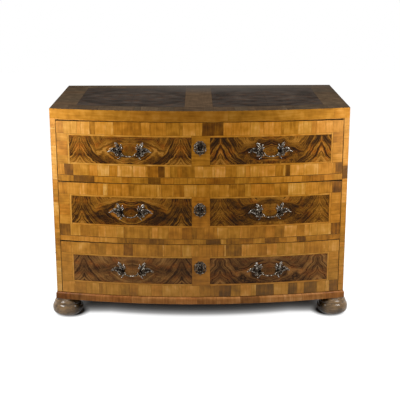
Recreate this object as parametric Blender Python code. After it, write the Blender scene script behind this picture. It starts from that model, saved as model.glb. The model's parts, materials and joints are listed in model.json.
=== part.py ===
"""A bow-fronted commode with three locking drawers, in metres, +Z up.

The front faces -Y. The origin is on the floor, in the middle of the commode's outer box.
"""

import math

import bmesh
import bpy
from mathutils import Matrix, Vector

# Fits
TOUCH = 0.0003  # gap between pieces that touch
OVERRUN = 0.004  # how far a cutter runs past what it cuts

# Case
WIDTH = 1.150  # over the side panels
SIDE_DEPTH = 0.582  # from the front corners to the back
BOW_DEPTH = 0.072  # how far the front bulges past its corners
BOW_FACETS = 24
SMOOTH_ANGLE = math.radians(40)
SIDE_THICK = 0.022
TOP_THICK = 0.022
BACK_THICK = 0.014
RAIL_BACK = 0.050  # from the front corners to the rails' straight rear edges
TOP_RAIL_HEIGHT = 0.0204
UPPER_RAIL_HEIGHT = 0.025
LOWER_RAIL_HEIGHT = 0.0215
DUST_THICK = 0.010
DADO_DEPTH = 0.006  # how deep a dust board stands in the side panels

# Plinth and feet
PLINTH_HEIGHT = 0.029
PLINTH_PROUD = 0.0045  # past the front and sides of the case
PLINTH_THICK = 0.018
PLINTH_SECTION_SHARES = (
    (0.00, 0.00), (0.00, 0.62), (0.05, 0.74), (0.17, 0.86), (0.34, 0.95), (0.52, 1.00),
    (1.00, 1.00), (1.00, 0.00),
)  # across the thickness from the outside, and up the height
FOOT_HEIGHT = 0.0776
FOOT_RADIUS = 0.0615
FOOT_SIDES = 18
FOOT_FROM_SIDE = 0.0375
FOOT_FROM_CORNER = 0.028
FOOT_FROM_BACK = 0.070
FOOT_SECTION_SHARES = (
    (0.33, 0.00), (0.60, 0.04), (0.78, 0.11), (0.90, 0.20), (0.98, 0.32), (0.97, 0.345),
    (1.00, 0.37), (1.00, 0.45), (0.96, 0.59), (0.89, 0.675), (0.87, 0.69), (0.87, 0.75),
    (0.83, 0.84), (0.77, 0.90), (0.67, 0.94),
)  # of the foot's radius and height
PEG_RADIUS = 0.0125
PEG_LENGTH = 0.020
PEG_SIDES = 12

# Drawers
LOWER_DRAWER_HEIGHT = 0.218  # each is the height of the opening
MIDDLE_DRAWER_HEIGHT = 0.2205
UPPER_DRAWER_HEIGHT = 0.216
DRAWER_SIDE_GAP = 0.0015
FRONT_RISE = 0.0008  # under a drawer front
FRONT_DROP = 0.0015  # over a drawer front
BOX_DROP = 0.006  # over the drawer sides and back
FRONT_THICK = 0.024
DRAWER_SIDE_THICK = 0.012
DRAWER_BACK_THICK = 0.012
DRAWER_BOTTOM_THICK = 0.007
GROOVE_DEPTH = 0.006
GROOVE_RISE = 0.011  # under the groove that holds the drawer bottom
DRAWER_REAR_GAP = 0.010

# Locks
LOWER_KEYHOLE_RISE = 0.1245  # each is above the bottom of the opening
MIDDLE_KEYHOLE_RISE = 0.121
UPPER_KEYHOLE_RISE = 0.1195
KEYHOLE_RADIUS = 0.0028
KEYHOLE_SLOT_WIDTH = 0.0036
KEYHOLE_SLOT_LENGTH = 0.013
KEYHOLE_SIDES = 8
LOCK_WIDTH = 0.090
LOCK_BELOW_KEYHOLE = 0.026
LOCK_FLOOR = 0.006
LOCK_THICK = 0.015
LOCK_RECESS = 0.002  # how deep the lock is let into the back of the drawer front
LOCK_BELOW_EDGE = 0.0006
BOLT_WIDTH = 0.028
BOLT_THICK = 0.008
BOLT_ABOVE_KEYHOLE = 0.022
BOLT_SUNK = 0.001  # under the top of the lock case
BOLT_TRAVEL = 0.009
KEY_ROOM_WIDTH = 0.020  # the hollow under the bolt where a key turns
MORTISE_CLEARANCE = 0.0015

# Keyhole plates
PLATE_WIDTH = 0.050
PLATE_HEIGHT = 0.061
PLATE_BELOW_KEYHOLE = 0.005  # from the keyhole's round end down to the plate's middle
PLATE_THICK = 0.0035
PLATE_RIM = 0.0015
PLATE_FACE_SHARE = 0.82  # of the outline, at the front
PLATE_OUTLINE_SHARES = (
    (0.00, 0.46), (0.10, 0.50), (0.21, 0.48), (0.27, 0.40), (0.38, 0.42), (0.47, 0.33),
    (0.47, 0.21), (0.41, 0.13), (0.49, 0.04), (0.47, -0.09), (0.37, -0.15), (0.36, -0.27),
    (0.26, -0.34), (0.19, -0.36), (0.13, -0.46), (0.00, -0.50),
)  # the right half, of the plate's width and height

# Handles
HANDLE_X = 0.269  # from the middle of the commode to the middle of a handle
LOWER_HANDLE_RISE = 0.1025  # each is from the bottom of the opening to the bail's axis
MIDDLE_HANDLE_RISE = 0.1025
UPPER_HANDLE_RISE = 0.0975
POST_HALF_SPAN = 0.0355  # half of the distance between a handle's posts
POST_RADIUS = 0.003
POST_CLEARANCE = 0.0004
POST_PAST_NUT = 0.003
POST_SIDES = 8
NUT_WIDTH = 0.011
NUT_THICK = 0.004
AXIS_OUT = 0.017  # from the drawer front to the bail's axis
BOSS_RADIUS = 0.0062
BOSS_CAP = 0.0070  # from the bail's axis to the tip of the boss
BOSS_CAP_SHARE = 0.55
BOSS_WAIST_SHARE = 0.72
LEAF_REACH = 0.049  # each is measured from the boss
LEAF_RISE = 0.038
LEAF_DROP = 0.026
LEAF_THICK = 0.0055
LEAF_RIM = 0.0018
LEAF_FACE_SHARE = 0.74  # of the outline, at the front
LEAF_MIDDLE_SHARE = 0.26  # where the leaf's face is centred, of its reach
LEAF_OUTLINE_SHARES = (
    (1.00, 0.03), (0.80, 0.17), (0.62, 0.16), (0.50, 0.32), (0.38, 0.60), (0.46, 0.84),
    (0.36, 1.00), (0.16, 0.95), (0.04, 0.72), (0.03, 0.42), (-0.14, 0.24), (-0.19, -0.04),
    (-0.12, -0.36), (-0.01, -0.70), (0.10, -0.98), (0.30, -0.97), (0.42, -0.62),
    (0.60, -0.36), (0.82, -0.22),
)  # outward and up or down from the boss
BAIL_RADIUS = 0.0021
BAIL_DROP = 0.013
BAIL_BESIDE_BOSS = 0.0008
PIN_RADIUS = 0.0019
PIN_CLEARANCE = 0.0004
PIN_SHORT_OF_AXIS = 0.0010  # between the pin's end and the axis of the post
PIN_HOLE_END = 0.0004  # between the pin's end and the end of its hole
PIN_SIDES = 8
BAIL_RESOLUTION = 2
BAIL_PATH_SHARES = (
    (1.00, 0.00), (0.95, 0.10), (0.88, 0.32), (0.76, 0.57), (0.60, 0.78), (0.42, 0.91),
    (0.27, 0.97), (0.19, 0.99), (0.14, 1.00), (0.07, 1.00), (0.02, 1.00),
)  # half of the bail, of its half width and its drop
BAIL_THICKNESS_SHARES = (1.0, 1.0, 1.05, 1.15, 1.2, 1.1, 1.0, 1.0, 1.75, 1.75, 1.1)  # at those points

MATERIALS = {
    "walnut": ((0.31, 0.13, 0.035), 0.35, 0.0),
    "dark_walnut": ((0.07, 0.045, 0.03), 0.4, 0.0),
    "stained_wood": ((0.20, 0.09, 0.035), 0.3, 0.0),
    "pine": ((0.55, 0.38, 0.20), 0.65, 0.0),
    "iron": ((0.09, 0.08, 0.07), 0.5, 0.9),
    "dark_bronze": ((0.16, 0.14, 0.12), 0.35, 0.9),
}

half_width = WIDTH / 2
half_inside = half_width - SIDE_THICK
bow_radius = (half_width**2 + BOW_DEPTH**2) / (2 * BOW_DEPTH)
handle_angle = math.asin(HANDLE_X / bow_radius)
post_angle = math.asin(POST_HALF_SPAN / (bow_radius + AXIS_OUT))
nearer_post_angle = handle_angle - post_angle
tip_radius = bow_radius + AXIS_OUT + BOSS_CAP
tip_y = -tip_radius * math.cos(nearer_post_angle)
cap_y = -BOSS_RADIUS * BOSS_CAP_SHARE * math.sin(nearer_post_angle)
front_reach = BOW_DEPTH - bow_radius - tip_y - cap_y
corner_y = (front_reach - SIDE_DEPTH) / 2
back_y = corner_y + SIDE_DEPTH
centre_y = corner_y - BOW_DEPTH + bow_radius
rail_back_y = corner_y + RAIL_BACK
back_board_y = back_y - BACK_THICK
drawer_rear_y = back_board_y - DRAWER_REAR_GAP
plinth_inset = PLINTH_THICK - PLINTH_PROUD
base_top = FOOT_HEIGHT + PLINTH_HEIGHT
lower_rail_z = base_top + LOWER_DRAWER_HEIGHT
middle_drawer_z = lower_rail_z + LOWER_RAIL_HEIGHT
upper_rail_z = middle_drawer_z + MIDDLE_DRAWER_HEIGHT
upper_drawer_z = upper_rail_z + UPPER_RAIL_HEIGHT
top_rail_z = upper_drawer_z + UPPER_DRAWER_HEIGHT
top_under_z = top_rail_z + TOP_RAIL_HEIGHT
top_z = top_under_z + TOP_THICK
drawer_half = half_inside - DRAWER_SIDE_GAP
bolt_under_rail = FRONT_DROP + LOCK_BELOW_EDGE + BOLT_SUNK
mortise_depth = BOLT_TRAVEL - bolt_under_rail + MORTISE_CLEARANCE

DRAWERS = (
    ("lower", base_top, LOWER_DRAWER_HEIGHT, LOWER_KEYHOLE_RISE, LOWER_HANDLE_RISE),
    ("middle", middle_drawer_z, MIDDLE_DRAWER_HEIGHT, MIDDLE_KEYHOLE_RISE, MIDDLE_HANDLE_RISE),
    ("upper", upper_drawer_z, UPPER_DRAWER_HEIGHT, UPPER_KEYHOLE_RISE, UPPER_HANDLE_RISE),
)


def clear_scene():
    """Removes every object that the file holds."""
    for ob in list(bpy.data.objects):
        bpy.data.objects.remove(ob)


def make_material(name):
    """One Principled material from the table."""
    colour, roughness, metallic = MATERIALS[name]
    material = bpy.data.materials.get(name) or bpy.data.materials.new(name)
    material.use_nodes = True
    shader = material.node_tree.nodes["Principled BSDF"]
    shader.inputs["Base Color"].default_value = (*colour, 1)
    shader.inputs["Roughness"].default_value = roughness
    shader.inputs["Metallic"].default_value = metallic
    return material


def bow_y(x, inset=0):
    """The y of the line that runs this far behind the bowed front, at x."""
    return centre_y - math.sqrt((bow_radius - inset) ** 2 - x**2)


def stations(half):
    """Places along the front from one end to the other."""
    return [half * (2 * i / BOW_FACETS - 1) for i in range(BOW_FACETS + 1)]


def skin(rings):
    """A closed mesh over rings of points, with a flat cap on the first and the last."""
    bm = bmesh.new()
    loops = [[bm.verts.new(point) for point in ring] for ring in rings]
    for near, far in zip(loops, loops[1:]):
        for i in range(len(near)):
            bm.faces.new((near[i - 1], near[i], far[i], far[i - 1]))
    bm.faces.new(loops[0])
    bm.faces.new(loops[-1])
    bmesh.ops.recalc_face_normals(bm, faces=bm.faces)
    return bm


def prism(outline, low, high):
    """An outline in the floor plane, raised between two heights."""
    return skin([[(x, y, z) for x, y in outline] for z in (low, high)])


def box(low, high):
    """A box between two corners."""
    size = Vector(high) - Vector(low)
    middle = (Vector(high) + Vector(low)) / 2
    bm = bmesh.new()
    bmesh.ops.create_cube(bm, size=1, matrix=Matrix.Translation(middle) @ Matrix.Diagonal((*size, 1)))
    return bm


def bowed_outline(half, inset, rear_y):
    """A plan with straight sides and rear edge and a bowed front."""
    front = [(x, bow_y(x, inset)) for x in stations(half)]
    return [(-half, rear_y), *front, (half, rear_y)]


def turned(section, sides):
    """A turned shape about Z from its lowest (radius, z) point to its highest."""
    turns = [math.tau * (i + 0.5) / sides for i in range(sides)]
    return skin([[(r * math.cos(a), r * math.sin(a), z) for a in turns] for r, z in section])


def spindle(section, sides):
    """A turned shape about Y, from the rear to the front."""
    bm = turned(section, sides)
    bm.transform(Matrix.Rotation(math.pi / 2, 4, "X"))
    return bm


def to_mesh(name, bm):
    """The bmesh as mesh data."""
    mesh = bpy.data.meshes.new(name)
    bm.to_mesh(mesh)
    bm.free()
    return mesh


def place(name, data, material, location=(0, 0, 0), turn=0, parent=None):
    """One object for one piece."""
    ob = bpy.data.objects.new(name, data)
    bpy.context.scene.collection.objects.link(ob)
    if not data.materials:
        data.materials.append(make_material(material))
    ob.location = location
    ob.rotation_euler.z = turn
    ob.parent = parent
    return ob


def combine(name, base, added=(), cut=()):
    """Mesh data of a base with shapes joined to it and others cut out of it."""
    whole = bpy.data.objects.new(name, to_mesh(name, base))
    bpy.context.scene.collection.objects.link(whole)
    tools = []
    for operation, shapes in (("UNION", added), ("DIFFERENCE", cut)):
        for shape in shapes:
            tool = bpy.data.objects.new("tool", to_mesh("tool", shape))
            bpy.context.scene.collection.objects.link(tool)
            modifier = whole.modifiers.new(operation.lower(), "BOOLEAN")
            modifier.operation = operation
            modifier.solver = "EXACT"
            modifier.object = tool
            tools.append(tool)
    depsgraph = bpy.context.evaluated_depsgraph_get()
    mesh = bpy.data.meshes.new_from_object(whole.evaluated_get(depsgraph))
    mesh.name = name
    for ob in (whole, *tools):
        bpy.data.objects.remove(ob)
    return mesh


def shade_round(mesh):
    """Smooth shading with the true corners kept sharp."""
    mesh.shade_smooth()
    mesh.set_sharp_from_angle(angle=SMOOTH_ANGLE)
    return mesh


def make_empty(name, location, turn, parent):
    """A frame that pieces ride on."""
    empty = bpy.data.objects.new(name, None)
    bpy.context.scene.collection.objects.link(empty)
    empty.location = location
    empty.rotation_euler.z = turn
    empty.parent = parent
    return empty


def make_top():
    outline = bowed_outline(half_width, 0, back_y)
    place("top_board", to_mesh("top_board", prism(outline, top_under_z, top_z)), "dark_walnut")


def make_side_panels():
    """The two sides, with a dado for each dust board."""
    for name, side in (("left", -1), ("right", 1)):
        outer = side * half_width
        inner = side * half_inside
        outline = [(outer, corner_y), (outer, back_y), (inner, back_y), (inner, bow_y(half_inside))]
        body = prism(outline, base_top + TOUCH, top_under_z - TOUCH)
        dados = []
        for top in (middle_drawer_z, upper_drawer_z):
            floor = side * (half_inside + DADO_DEPTH)
            mouth = side * (half_inside - OVERRUN)
            low = (min(floor, mouth), rail_back_y, top - DUST_THICK - TOUCH)
            high = (max(floor, mouth), back_board_y, top + TOUCH)
            dados.append(box(low, high))
        node = f"side_panel_{name}"
        place(node, combine(node, body, cut=dados), "walnut")


def make_back_boards():
    low = base_top + TOUCH
    high = top_under_z - TOUCH
    middle = (low + high) / 2
    half = half_inside - TOUCH
    for name, start, end in (("lower", low, middle - TOUCH / 2), ("upper", middle + TOUCH / 2, high)):
        node = f"back_board_{name}"
        shape = box((-half, back_board_y, start), (half, back_y, end))
        place(node, to_mesh(node, shape), "pine")


def lock_middle_y():
    """The y of the middle of a lock case and its bolt."""
    return bow_y(0, FRONT_THICK) - LOCK_RECESS + LOCK_THICK / 2


def bolt_mortise(rail_z):
    """The hole under a rail that a lock bolt rises into."""
    half_x = BOLT_WIDTH / 2 + MORTISE_CLEARANCE
    half_y = BOLT_THICK / 2 + MORTISE_CLEARANCE
    middle = lock_middle_y()
    return box(
        (-half_x, middle - half_y, rail_z - OVERRUN),
        (half_x, middle + half_y, rail_z + mortise_depth),
    )


def make_rails():
    """The rail under the top and the two between the drawers."""
    outline = bowed_outline(half_inside - TOUCH, 0, rail_back_y)
    rails = (
        ("top_rail", top_rail_z, top_under_z - TOUCH),
        ("divider_rail_upper", upper_rail_z, upper_drawer_z),
        ("divider_rail_lower", lower_rail_z, middle_drawer_z),
    )
    for node, low, high in rails:
        place(node, combine(node, prism(outline, low, high), cut=[bolt_mortise(low)]), "walnut")


def make_dust_boards():
    half = half_inside + DADO_DEPTH - TOUCH
    for name, top in (("lower", middle_drawer_z), ("upper", upper_drawer_z)):
        node = f"dust_board_{name}"
        low = (-half, rail_back_y + TOUCH, top - DUST_THICK)
        shape = box(low, (half, back_board_y - TOUCH, top))
        place(node, to_mesh(node, shape), "pine")


def foot_places():
    """The name and the plan position of each foot."""
    rows = (("front", corner_y + FOOT_FROM_CORNER), ("back", back_y - FOOT_FROM_BACK))
    columns = (("left", FOOT_FROM_SIDE - half_width), ("right", half_width - FOOT_FROM_SIDE))
    return [(f"foot_{row}_{column}", x, y) for row, y in rows for column, x in columns]


def make_bottom():
    """The bottom board inside the plinth, with a blind hole for each foot's peg."""
    outline = bowed_outline(half_width - plinth_inset - TOUCH, plinth_inset + TOUCH, back_y)
    holes = []
    for _, x, y in foot_places():
        radius = PEG_RADIUS + TOUCH
        low = FOOT_HEIGHT - OVERRUN
        hole = turned([(radius, low), (radius, FOOT_HEIGHT + PEG_LENGTH + TOUCH)], PEG_SIDES)
        hole.transform(Matrix.Translation((x, y, 0)))
        holes.append(hole)
    body = prism(outline, FOOT_HEIGHT, base_top)
    place("bottom_board", combine("bottom_board", body, cut=holes), "pine")


def make_feet():
    """Four turned bun feet, each with its peg."""
    shares = FOOT_SECTION_SHARES
    seat = FOOT_HEIGHT - TOUCH
    section = [(r * FOOT_RADIUS, z * FOOT_HEIGHT) for r, z in shares]
    section.append((section[-1][0], seat))
    bun = turned(section, FOOT_SIDES)
    peg = turned([(PEG_RADIUS, seat - OVERRUN), (PEG_RADIUS, FOOT_HEIGHT + PEG_LENGTH)], PEG_SIDES)
    mesh = shade_round(combine("bun_foot", bun, added=[peg]))
    for node, x, y in foot_places():
        place(node, mesh, "stained_wood", location=(x, y, 0))


def plinth_section():
    """The moulding's outline as pairs of inset from the case and height."""
    return [
        (u * PLINTH_THICK - PLINTH_PROUD, FOOT_HEIGHT + v * PLINTH_HEIGHT)
        for u, v in PLINTH_SECTION_SHARES
    ]


def make_plinth():
    """Three mouldings round the bottom board, mitred at the front corners."""
    section = plinth_section()
    rings = []
    for share in stations(1):
        ends = [(share * (half_width - inset - TOUCH), inset, z) for inset, z in section]
        rings.append([(x, bow_y(x, inset), z) for x, inset, z in ends])
    place("plinth_front", to_mesh("plinth_front", skin(rings)), "walnut")
    for name, side in (("left", -1), ("right", 1)):
        mitre = []
        rear = []
        for inset, z in section:
            x = half_width - inset
            mitre.append((side * x, bow_y(x, inset) + TOUCH, z))
            rear.append((side * x, back_y, z))
        node = f"plinth_{name}"
        place(node, to_mesh(node, skin([mitre, rear])), "walnut")


def keyhole_cutter(length):
    """A keyhole that runs along Y, with its round end above its slot."""
    half = KEYHOLE_SLOT_WIDTH / 2
    start = -math.acos(half / KEYHOLE_RADIUS)
    sweep = math.pi - 2 * start
    arc = [start + sweep * i / KEYHOLE_SIDES for i in range(KEYHOLE_SIDES + 1)]
    outline = [(KEYHOLE_RADIUS * math.cos(a), KEYHOLE_RADIUS * math.sin(a)) for a in arc]
    outline += [(-half, -KEYHOLE_SLOT_LENGTH), (half, -KEYHOLE_SLOT_LENGTH)]
    return skin([[(x, y, z) for x, z in outline] for y in (-length, length)])


def moved(bm, location, turn=0):
    """The bmesh turned about Z and then moved."""
    bm.transform(Matrix.Translation(location) @ Matrix.Rotation(turn, 4, "Z"))
    return bm


def drawer_front_cuts(high, keyhole_z, handle_z):
    """The lock's recess, the keyhole and the holes for the four handle posts."""
    inner_y = bow_y(0, FRONT_THICK)
    half_lock = LOCK_WIDTH / 2 + TOUCH
    lock_low = keyhole_z - LOCK_BELOW_KEYHOLE - TOUCH
    recess = box(
        (-half_lock, inner_y - LOCK_RECESS - TOUCH, lock_low),
        (half_lock, inner_y + FRONT_THICK, high + OVERRUN),
    )
    keyhole = moved(keyhole_cutter(FRONT_THICK), (0, bow_y(0, FRONT_THICK / 2), keyhole_z))
    cuts = [recess, keyhole]
    radius = POST_RADIUS + POST_CLEARANCE
    for angle in post_angles():
        hole = spindle([(radius, -FRONT_THICK - OVERRUN), (radius, OVERRUN)], POST_SIDES)
        cuts.append(moved(hole, on_bow(angle, handle_z), angle))
    return cuts


def post_angles():
    """Where round the bow each handle post stands, from left to right."""
    return [side * handle_angle + hand * post_angle for side in (-1, 1) for hand in (-1, 1)]


def on_bow(angle, z):
    """The point of the front at this angle round the bow, at this height."""
    return bow_radius * math.sin(angle), centre_y - bow_radius * math.cos(angle), z


def make_drawer_front(name, opening_z, height, keyhole_rise, handle_rise):
    """The bowed front, with a groove behind for the drawer bottom."""
    low = opening_z + FRONT_RISE
    high = opening_z + height - FRONT_DROP
    groove_low = opening_z + GROOVE_RISE
    groove_high = groove_low + DRAWER_BOTTOM_THICK + 2 * TOUCH
    groove_inset = FRONT_THICK - GROOVE_DEPTH
    section = (
        (0, low), (0, high), (FRONT_THICK, high), (FRONT_THICK, groove_high),
        (groove_inset, groove_high), (groove_inset, groove_low),
        (FRONT_THICK, groove_low), (FRONT_THICK, low),
    )
    body = skin([[(x, bow_y(x, inset), z) for inset, z in section] for x in stations(drawer_half)])
    cuts = drawer_front_cuts(high, opening_z + keyhole_rise, opening_z + handle_rise)
    node = f"drawer_{name}_front"
    return node, combine(node, body, cut=cuts)


def make_drawer_side(side, opening_z, height):
    """One side of a drawer box, with the groove for the bottom on its inner face."""
    low = opening_z + TOUCH
    high = opening_z + height - BOX_DROP
    groove_low = opening_z + GROOVE_RISE
    groove_high = groove_low + DRAWER_BOTTOM_THICK + 2 * TOUCH
    inner = drawer_half - DRAWER_SIDE_THICK
    deep = inner + GROOVE_DEPTH
    section = (
        (drawer_half, low), (drawer_half, high), (inner, high), (inner, groove_high),
        (deep, groove_high), (deep, groove_low), (inner, groove_low), (inner, low),
    )
    front = [(side * x, bow_y(x, FRONT_THICK) + TOUCH, z) for x, z in section]
    rear = [(side * x, drawer_rear_y, z) for x, z in section]
    return skin([front, rear])


def make_drawer_back(opening_z, height):
    half = drawer_half - DRAWER_SIDE_THICK - TOUCH
    low = opening_z + GROOVE_RISE + DRAWER_BOTTOM_THICK + 2 * TOUCH
    return box(
        (-half, drawer_rear_y - DRAWER_BACK_THICK, low),
        (half, drawer_rear_y, opening_z + height - BOX_DROP),
    )


def make_drawer_bottom(opening_z):
    half = drawer_half - DRAWER_SIDE_THICK + GROOVE_DEPTH - TOUCH
    outline = bowed_outline(half, FRONT_THICK - GROOVE_DEPTH + TOUCH, drawer_rear_y)
    low = opening_z + GROOVE_RISE + TOUCH
    return prism(outline, low, low + DRAWER_BOTTOM_THICK)


def make_lock_case(high, keyhole_z):
    """The iron case, open at the top for the bolt, in the frame of its own middle."""
    half_x = LOCK_WIDTH / 2
    half_y = LOCK_THICK / 2
    low = keyhole_z - LOCK_BELOW_KEYHOLE
    shoulder = keyhole_z + BOLT_ABOVE_KEYHOLE - TOUCH
    bolt_x = BOLT_WIDTH / 2 + TOUCH
    bolt_y = BOLT_THICK / 2 + TOUCH
    channel = box((-bolt_x, -bolt_y, shoulder), (bolt_x, bolt_y, high + OVERRUN))
    room_x = KEY_ROOM_WIDTH / 2
    key_room = box((-room_x, -bolt_y, low + LOCK_FLOOR), (room_x, bolt_y, shoulder + OVERRUN))
    keyhole = moved(keyhole_cutter(half_y), (0, -half_y, keyhole_z))
    body = box((-half_x, -half_y, low), (half_x, half_y, high))
    return body, [channel, key_room, keyhole]


def make_lock(name, drawer, high, keyhole_z):
    """The lock case behind the drawer front, and the bolt that rises from it."""
    case_top = high - LOCK_BELOW_EDGE
    middle = (0, lock_middle_y(), 0)
    body, cuts = make_lock_case(case_top, keyhole_z)
    node = f"lock_case_{name}"
    place(node, combine(node, body, cut=cuts), "iron", location=middle, parent=drawer)
    half_x = BOLT_WIDTH / 2
    half_y = BOLT_THICK / 2
    bolt_top = case_top - BOLT_SUNK
    bolt_length = bolt_top - keyhole_z - BOLT_ABOVE_KEYHOLE
    bolt = box((-half_x, -half_y, -bolt_length), (half_x, half_y, 0))
    node = f"lock_bolt_{name}"
    location = (0, lock_middle_y(), bolt_top)
    place(node, to_mesh(node, bolt), "iron", location=location, parent=drawer)


def relief(outline, middle, rim, thick, face_share):
    """A low casting in the XZ plane: a rim that stands straight, then a face drawn in to its middle."""
    x0, z0 = middle
    face = [(x0 + (x - x0) * face_share, z0 + (z - z0) * face_share) for x, z in outline]
    layers = ((outline, -TOUCH), (outline, -rim), (face, -thick))
    return skin([[(x, y, z) for x, z in points] for points, y in layers])


def make_keyhole_plate(name, drawer, keyhole_z):
    right = [(u * PLATE_WIDTH, v * PLATE_HEIGHT) for u, v in PLATE_OUTLINE_SHARES]
    left = [(-x, z) for x, z in reversed(right[1:-1])]
    body = relief(right + left, (0, 0), PLATE_RIM, PLATE_THICK, PLATE_FACE_SHARE)
    moved(body, (0, 0, -PLATE_BELOW_KEYHOLE))
    node = f"keyhole_plate_{name}"
    mesh = combine(node, body, cut=[keyhole_cutter(FRONT_THICK)])
    place(node, mesh, "dark_bronze", location=(0, bow_y(0), keyhole_z), parent=drawer)


def make_mount(name, hand):
    """One leaf with its boss, its post through the drawer front and the nut, for the left or right hand."""
    spots = []
    for u, v in LEAF_OUTLINE_SHARES:
        height = LEAF_RISE if v > 0 else LEAF_DROP
        spots.append((hand * u * LEAF_REACH, v * height))
    middle = (hand * LEAF_MIDDLE_SHARE * LEAF_REACH, 0)
    leaf = relief(spots, middle, LEAF_RIM, LEAF_THICK, LEAF_FACE_SHARE)
    nut_back = FRONT_THICK + TOUCH + NUT_THICK
    post_end = nut_back + POST_PAST_NUT
    post = spindle([(POST_RADIUS, -post_end), (POST_RADIUS, LEAF_RIM)], POST_SIDES)
    waist = BOSS_RADIUS * BOSS_WAIST_SHARE
    boss = spindle(
        [
            (BOSS_RADIUS, LEAF_RIM), (waist, LEAF_THICK + TOUCH),
            (BOSS_RADIUS, AXIS_OUT - BOSS_RADIUS / 2), (BOSS_RADIUS, AXIS_OUT + BOSS_RADIUS / 2),
            (BOSS_RADIUS * BOSS_CAP_SHARE, AXIS_OUT + BOSS_CAP),
        ],
        POST_SIDES,
    )
    half_nut = NUT_WIDTH / 2
    nut = box((-half_nut, FRONT_THICK + TOUCH, -half_nut), (half_nut, nut_back, half_nut))
    hole_end = PIN_SHORT_OF_AXIS - PIN_HOLE_END
    hole_radius = (PIN_RADIUS + PIN_CLEARANCE) / math.cos(math.pi / PIN_SIDES)
    hole = turned([(hole_radius, hole_end), (hole_radius, BOSS_RADIUS + OVERRUN)], PIN_SIDES)
    hole.transform(Matrix.Rotation(-hand * math.pi / 2, 4, "Y"))
    hole.transform(Matrix.Translation((0, -AXIS_OUT, 0)) @ Matrix.Rotation(-hand * post_angle, 4, "Z"))
    return combine(name, leaf, added=[boss, post, nut], cut=[hole])


def make_bail_curve():
    """The drop handle about its axis: a hanging bar with two beads in the middle and a pin at each end."""
    half_span = (bow_radius + AXIS_OUT) * math.sin(post_angle)
    half = half_span - BOSS_RADIUS - BAIL_BESIDE_BOSS
    pin_end = half_span - PIN_SHORT_OF_AXIS
    right = [(pin_end, 0, PIN_RADIUS), (half, 0, PIN_RADIUS)]
    arm = half - BAIL_RADIUS
    for (u, v), thickness in zip(BAIL_PATH_SHARES, BAIL_THICKNESS_SHARES):
        right.append((u * arm, -v * BAIL_DROP, thickness * BAIL_RADIUS))
    left = [(-x, z, radius) for x, z, radius in reversed(right)]
    points = right + left
    curve = bpy.data.curves.new("bail", "CURVE")
    curve.dimensions = "3D"
    curve.bevel_depth = BAIL_RADIUS
    curve.bevel_resolution = BAIL_RESOLUTION
    curve.use_fill_caps = True
    spline = curve.splines.new("POLY")
    spline.points.add(len(points) - 1)
    for point, (x, z, radius) in zip(spline.points, points):
        point.co = (x, 0, z, 1)
        point.radius = radius / BAIL_RADIUS
    return curve


def make_handles(name, drawer, handle_z, mounts, bail):
    """Two drop handles on one drawer front."""
    axis_radius = (bow_radius + AXIS_OUT) * math.cos(post_angle)
    for column, side in (("left", -1), ("right", 1)):
        middle = side * handle_angle
        for hand_name, hand in (("left", -1), ("right", 1)):
            angle = middle + hand * post_angle
            node = f"handle_{name}_{column}_{hand_name}_mount"
            spot = on_bow(angle, handle_z)
            place(node, mounts[hand], "dark_bronze", location=spot, turn=angle, parent=drawer)
        spot = (
            axis_radius * math.sin(middle),
            centre_y - axis_radius * math.cos(middle),
            handle_z,
        )
        node = f"handle_{name}_{column}_bail"
        place(node, bail, "dark_bronze", location=spot, turn=middle, parent=drawer)


def make_drawers():
    """Three drawers, each on an empty of its own, with their locks, plates and handles."""
    mounts = {hand: shade_round(make_mount(f"mount_{hand}", hand)) for hand in (-1, 1)}
    bail = make_bail_curve()
    for name, opening_z, height, keyhole_rise, handle_rise in DRAWERS:
        drawer = make_empty(f"drawer_{name}", (0, 0, 0), 0, None)
        node, mesh = make_drawer_front(name, opening_z, height, keyhole_rise, handle_rise)
        place(node, mesh, "walnut", parent=drawer)
        for side_name, side in (("left", -1), ("right", 1)):
            node = f"drawer_{name}_side_{side_name}"
            place(node, to_mesh(node, make_drawer_side(side, opening_z, height)), "pine", parent=drawer)
        node = f"drawer_{name}_back"
        place(node, to_mesh(node, make_drawer_back(opening_z, height)), "pine", parent=drawer)
        node = f"drawer_{name}_bottom"
        place(node, to_mesh(node, make_drawer_bottom(opening_z)), "pine", parent=drawer)
        high = opening_z + height - FRONT_DROP
        keyhole_z = opening_z + keyhole_rise
        make_lock(name, drawer, high, keyhole_z)
        make_keyhole_plate(name, drawer, keyhole_z)
        make_handles(name, drawer, opening_z + handle_rise, mounts, bail)


clear_scene()
make_top()
make_side_panels()
make_back_boards()
make_rails()
make_dust_boards()
make_bottom()
make_feet()
make_plinth()
make_drawers()
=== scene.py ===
# %% [markdown]
# # A bow-fronted commode, veneered in walnut
# The commode stands on four turned feet. Its front bulges like a bow and carries three drawers.
# Every outside face is a sheet of veneer: thin leaves of walnut that were sawn, fitted together
# like tiles and glued over plain pine. We build it as a maker does, from the case outwards:
# first the boards and their veneers, then the moulding and feet, and the metalwork last.
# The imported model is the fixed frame. It says where each board, drawer and handle sits.

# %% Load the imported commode
import json
import math
import random

import bmesh
import bpy
from mathutils import Matrix, Vector

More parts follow.
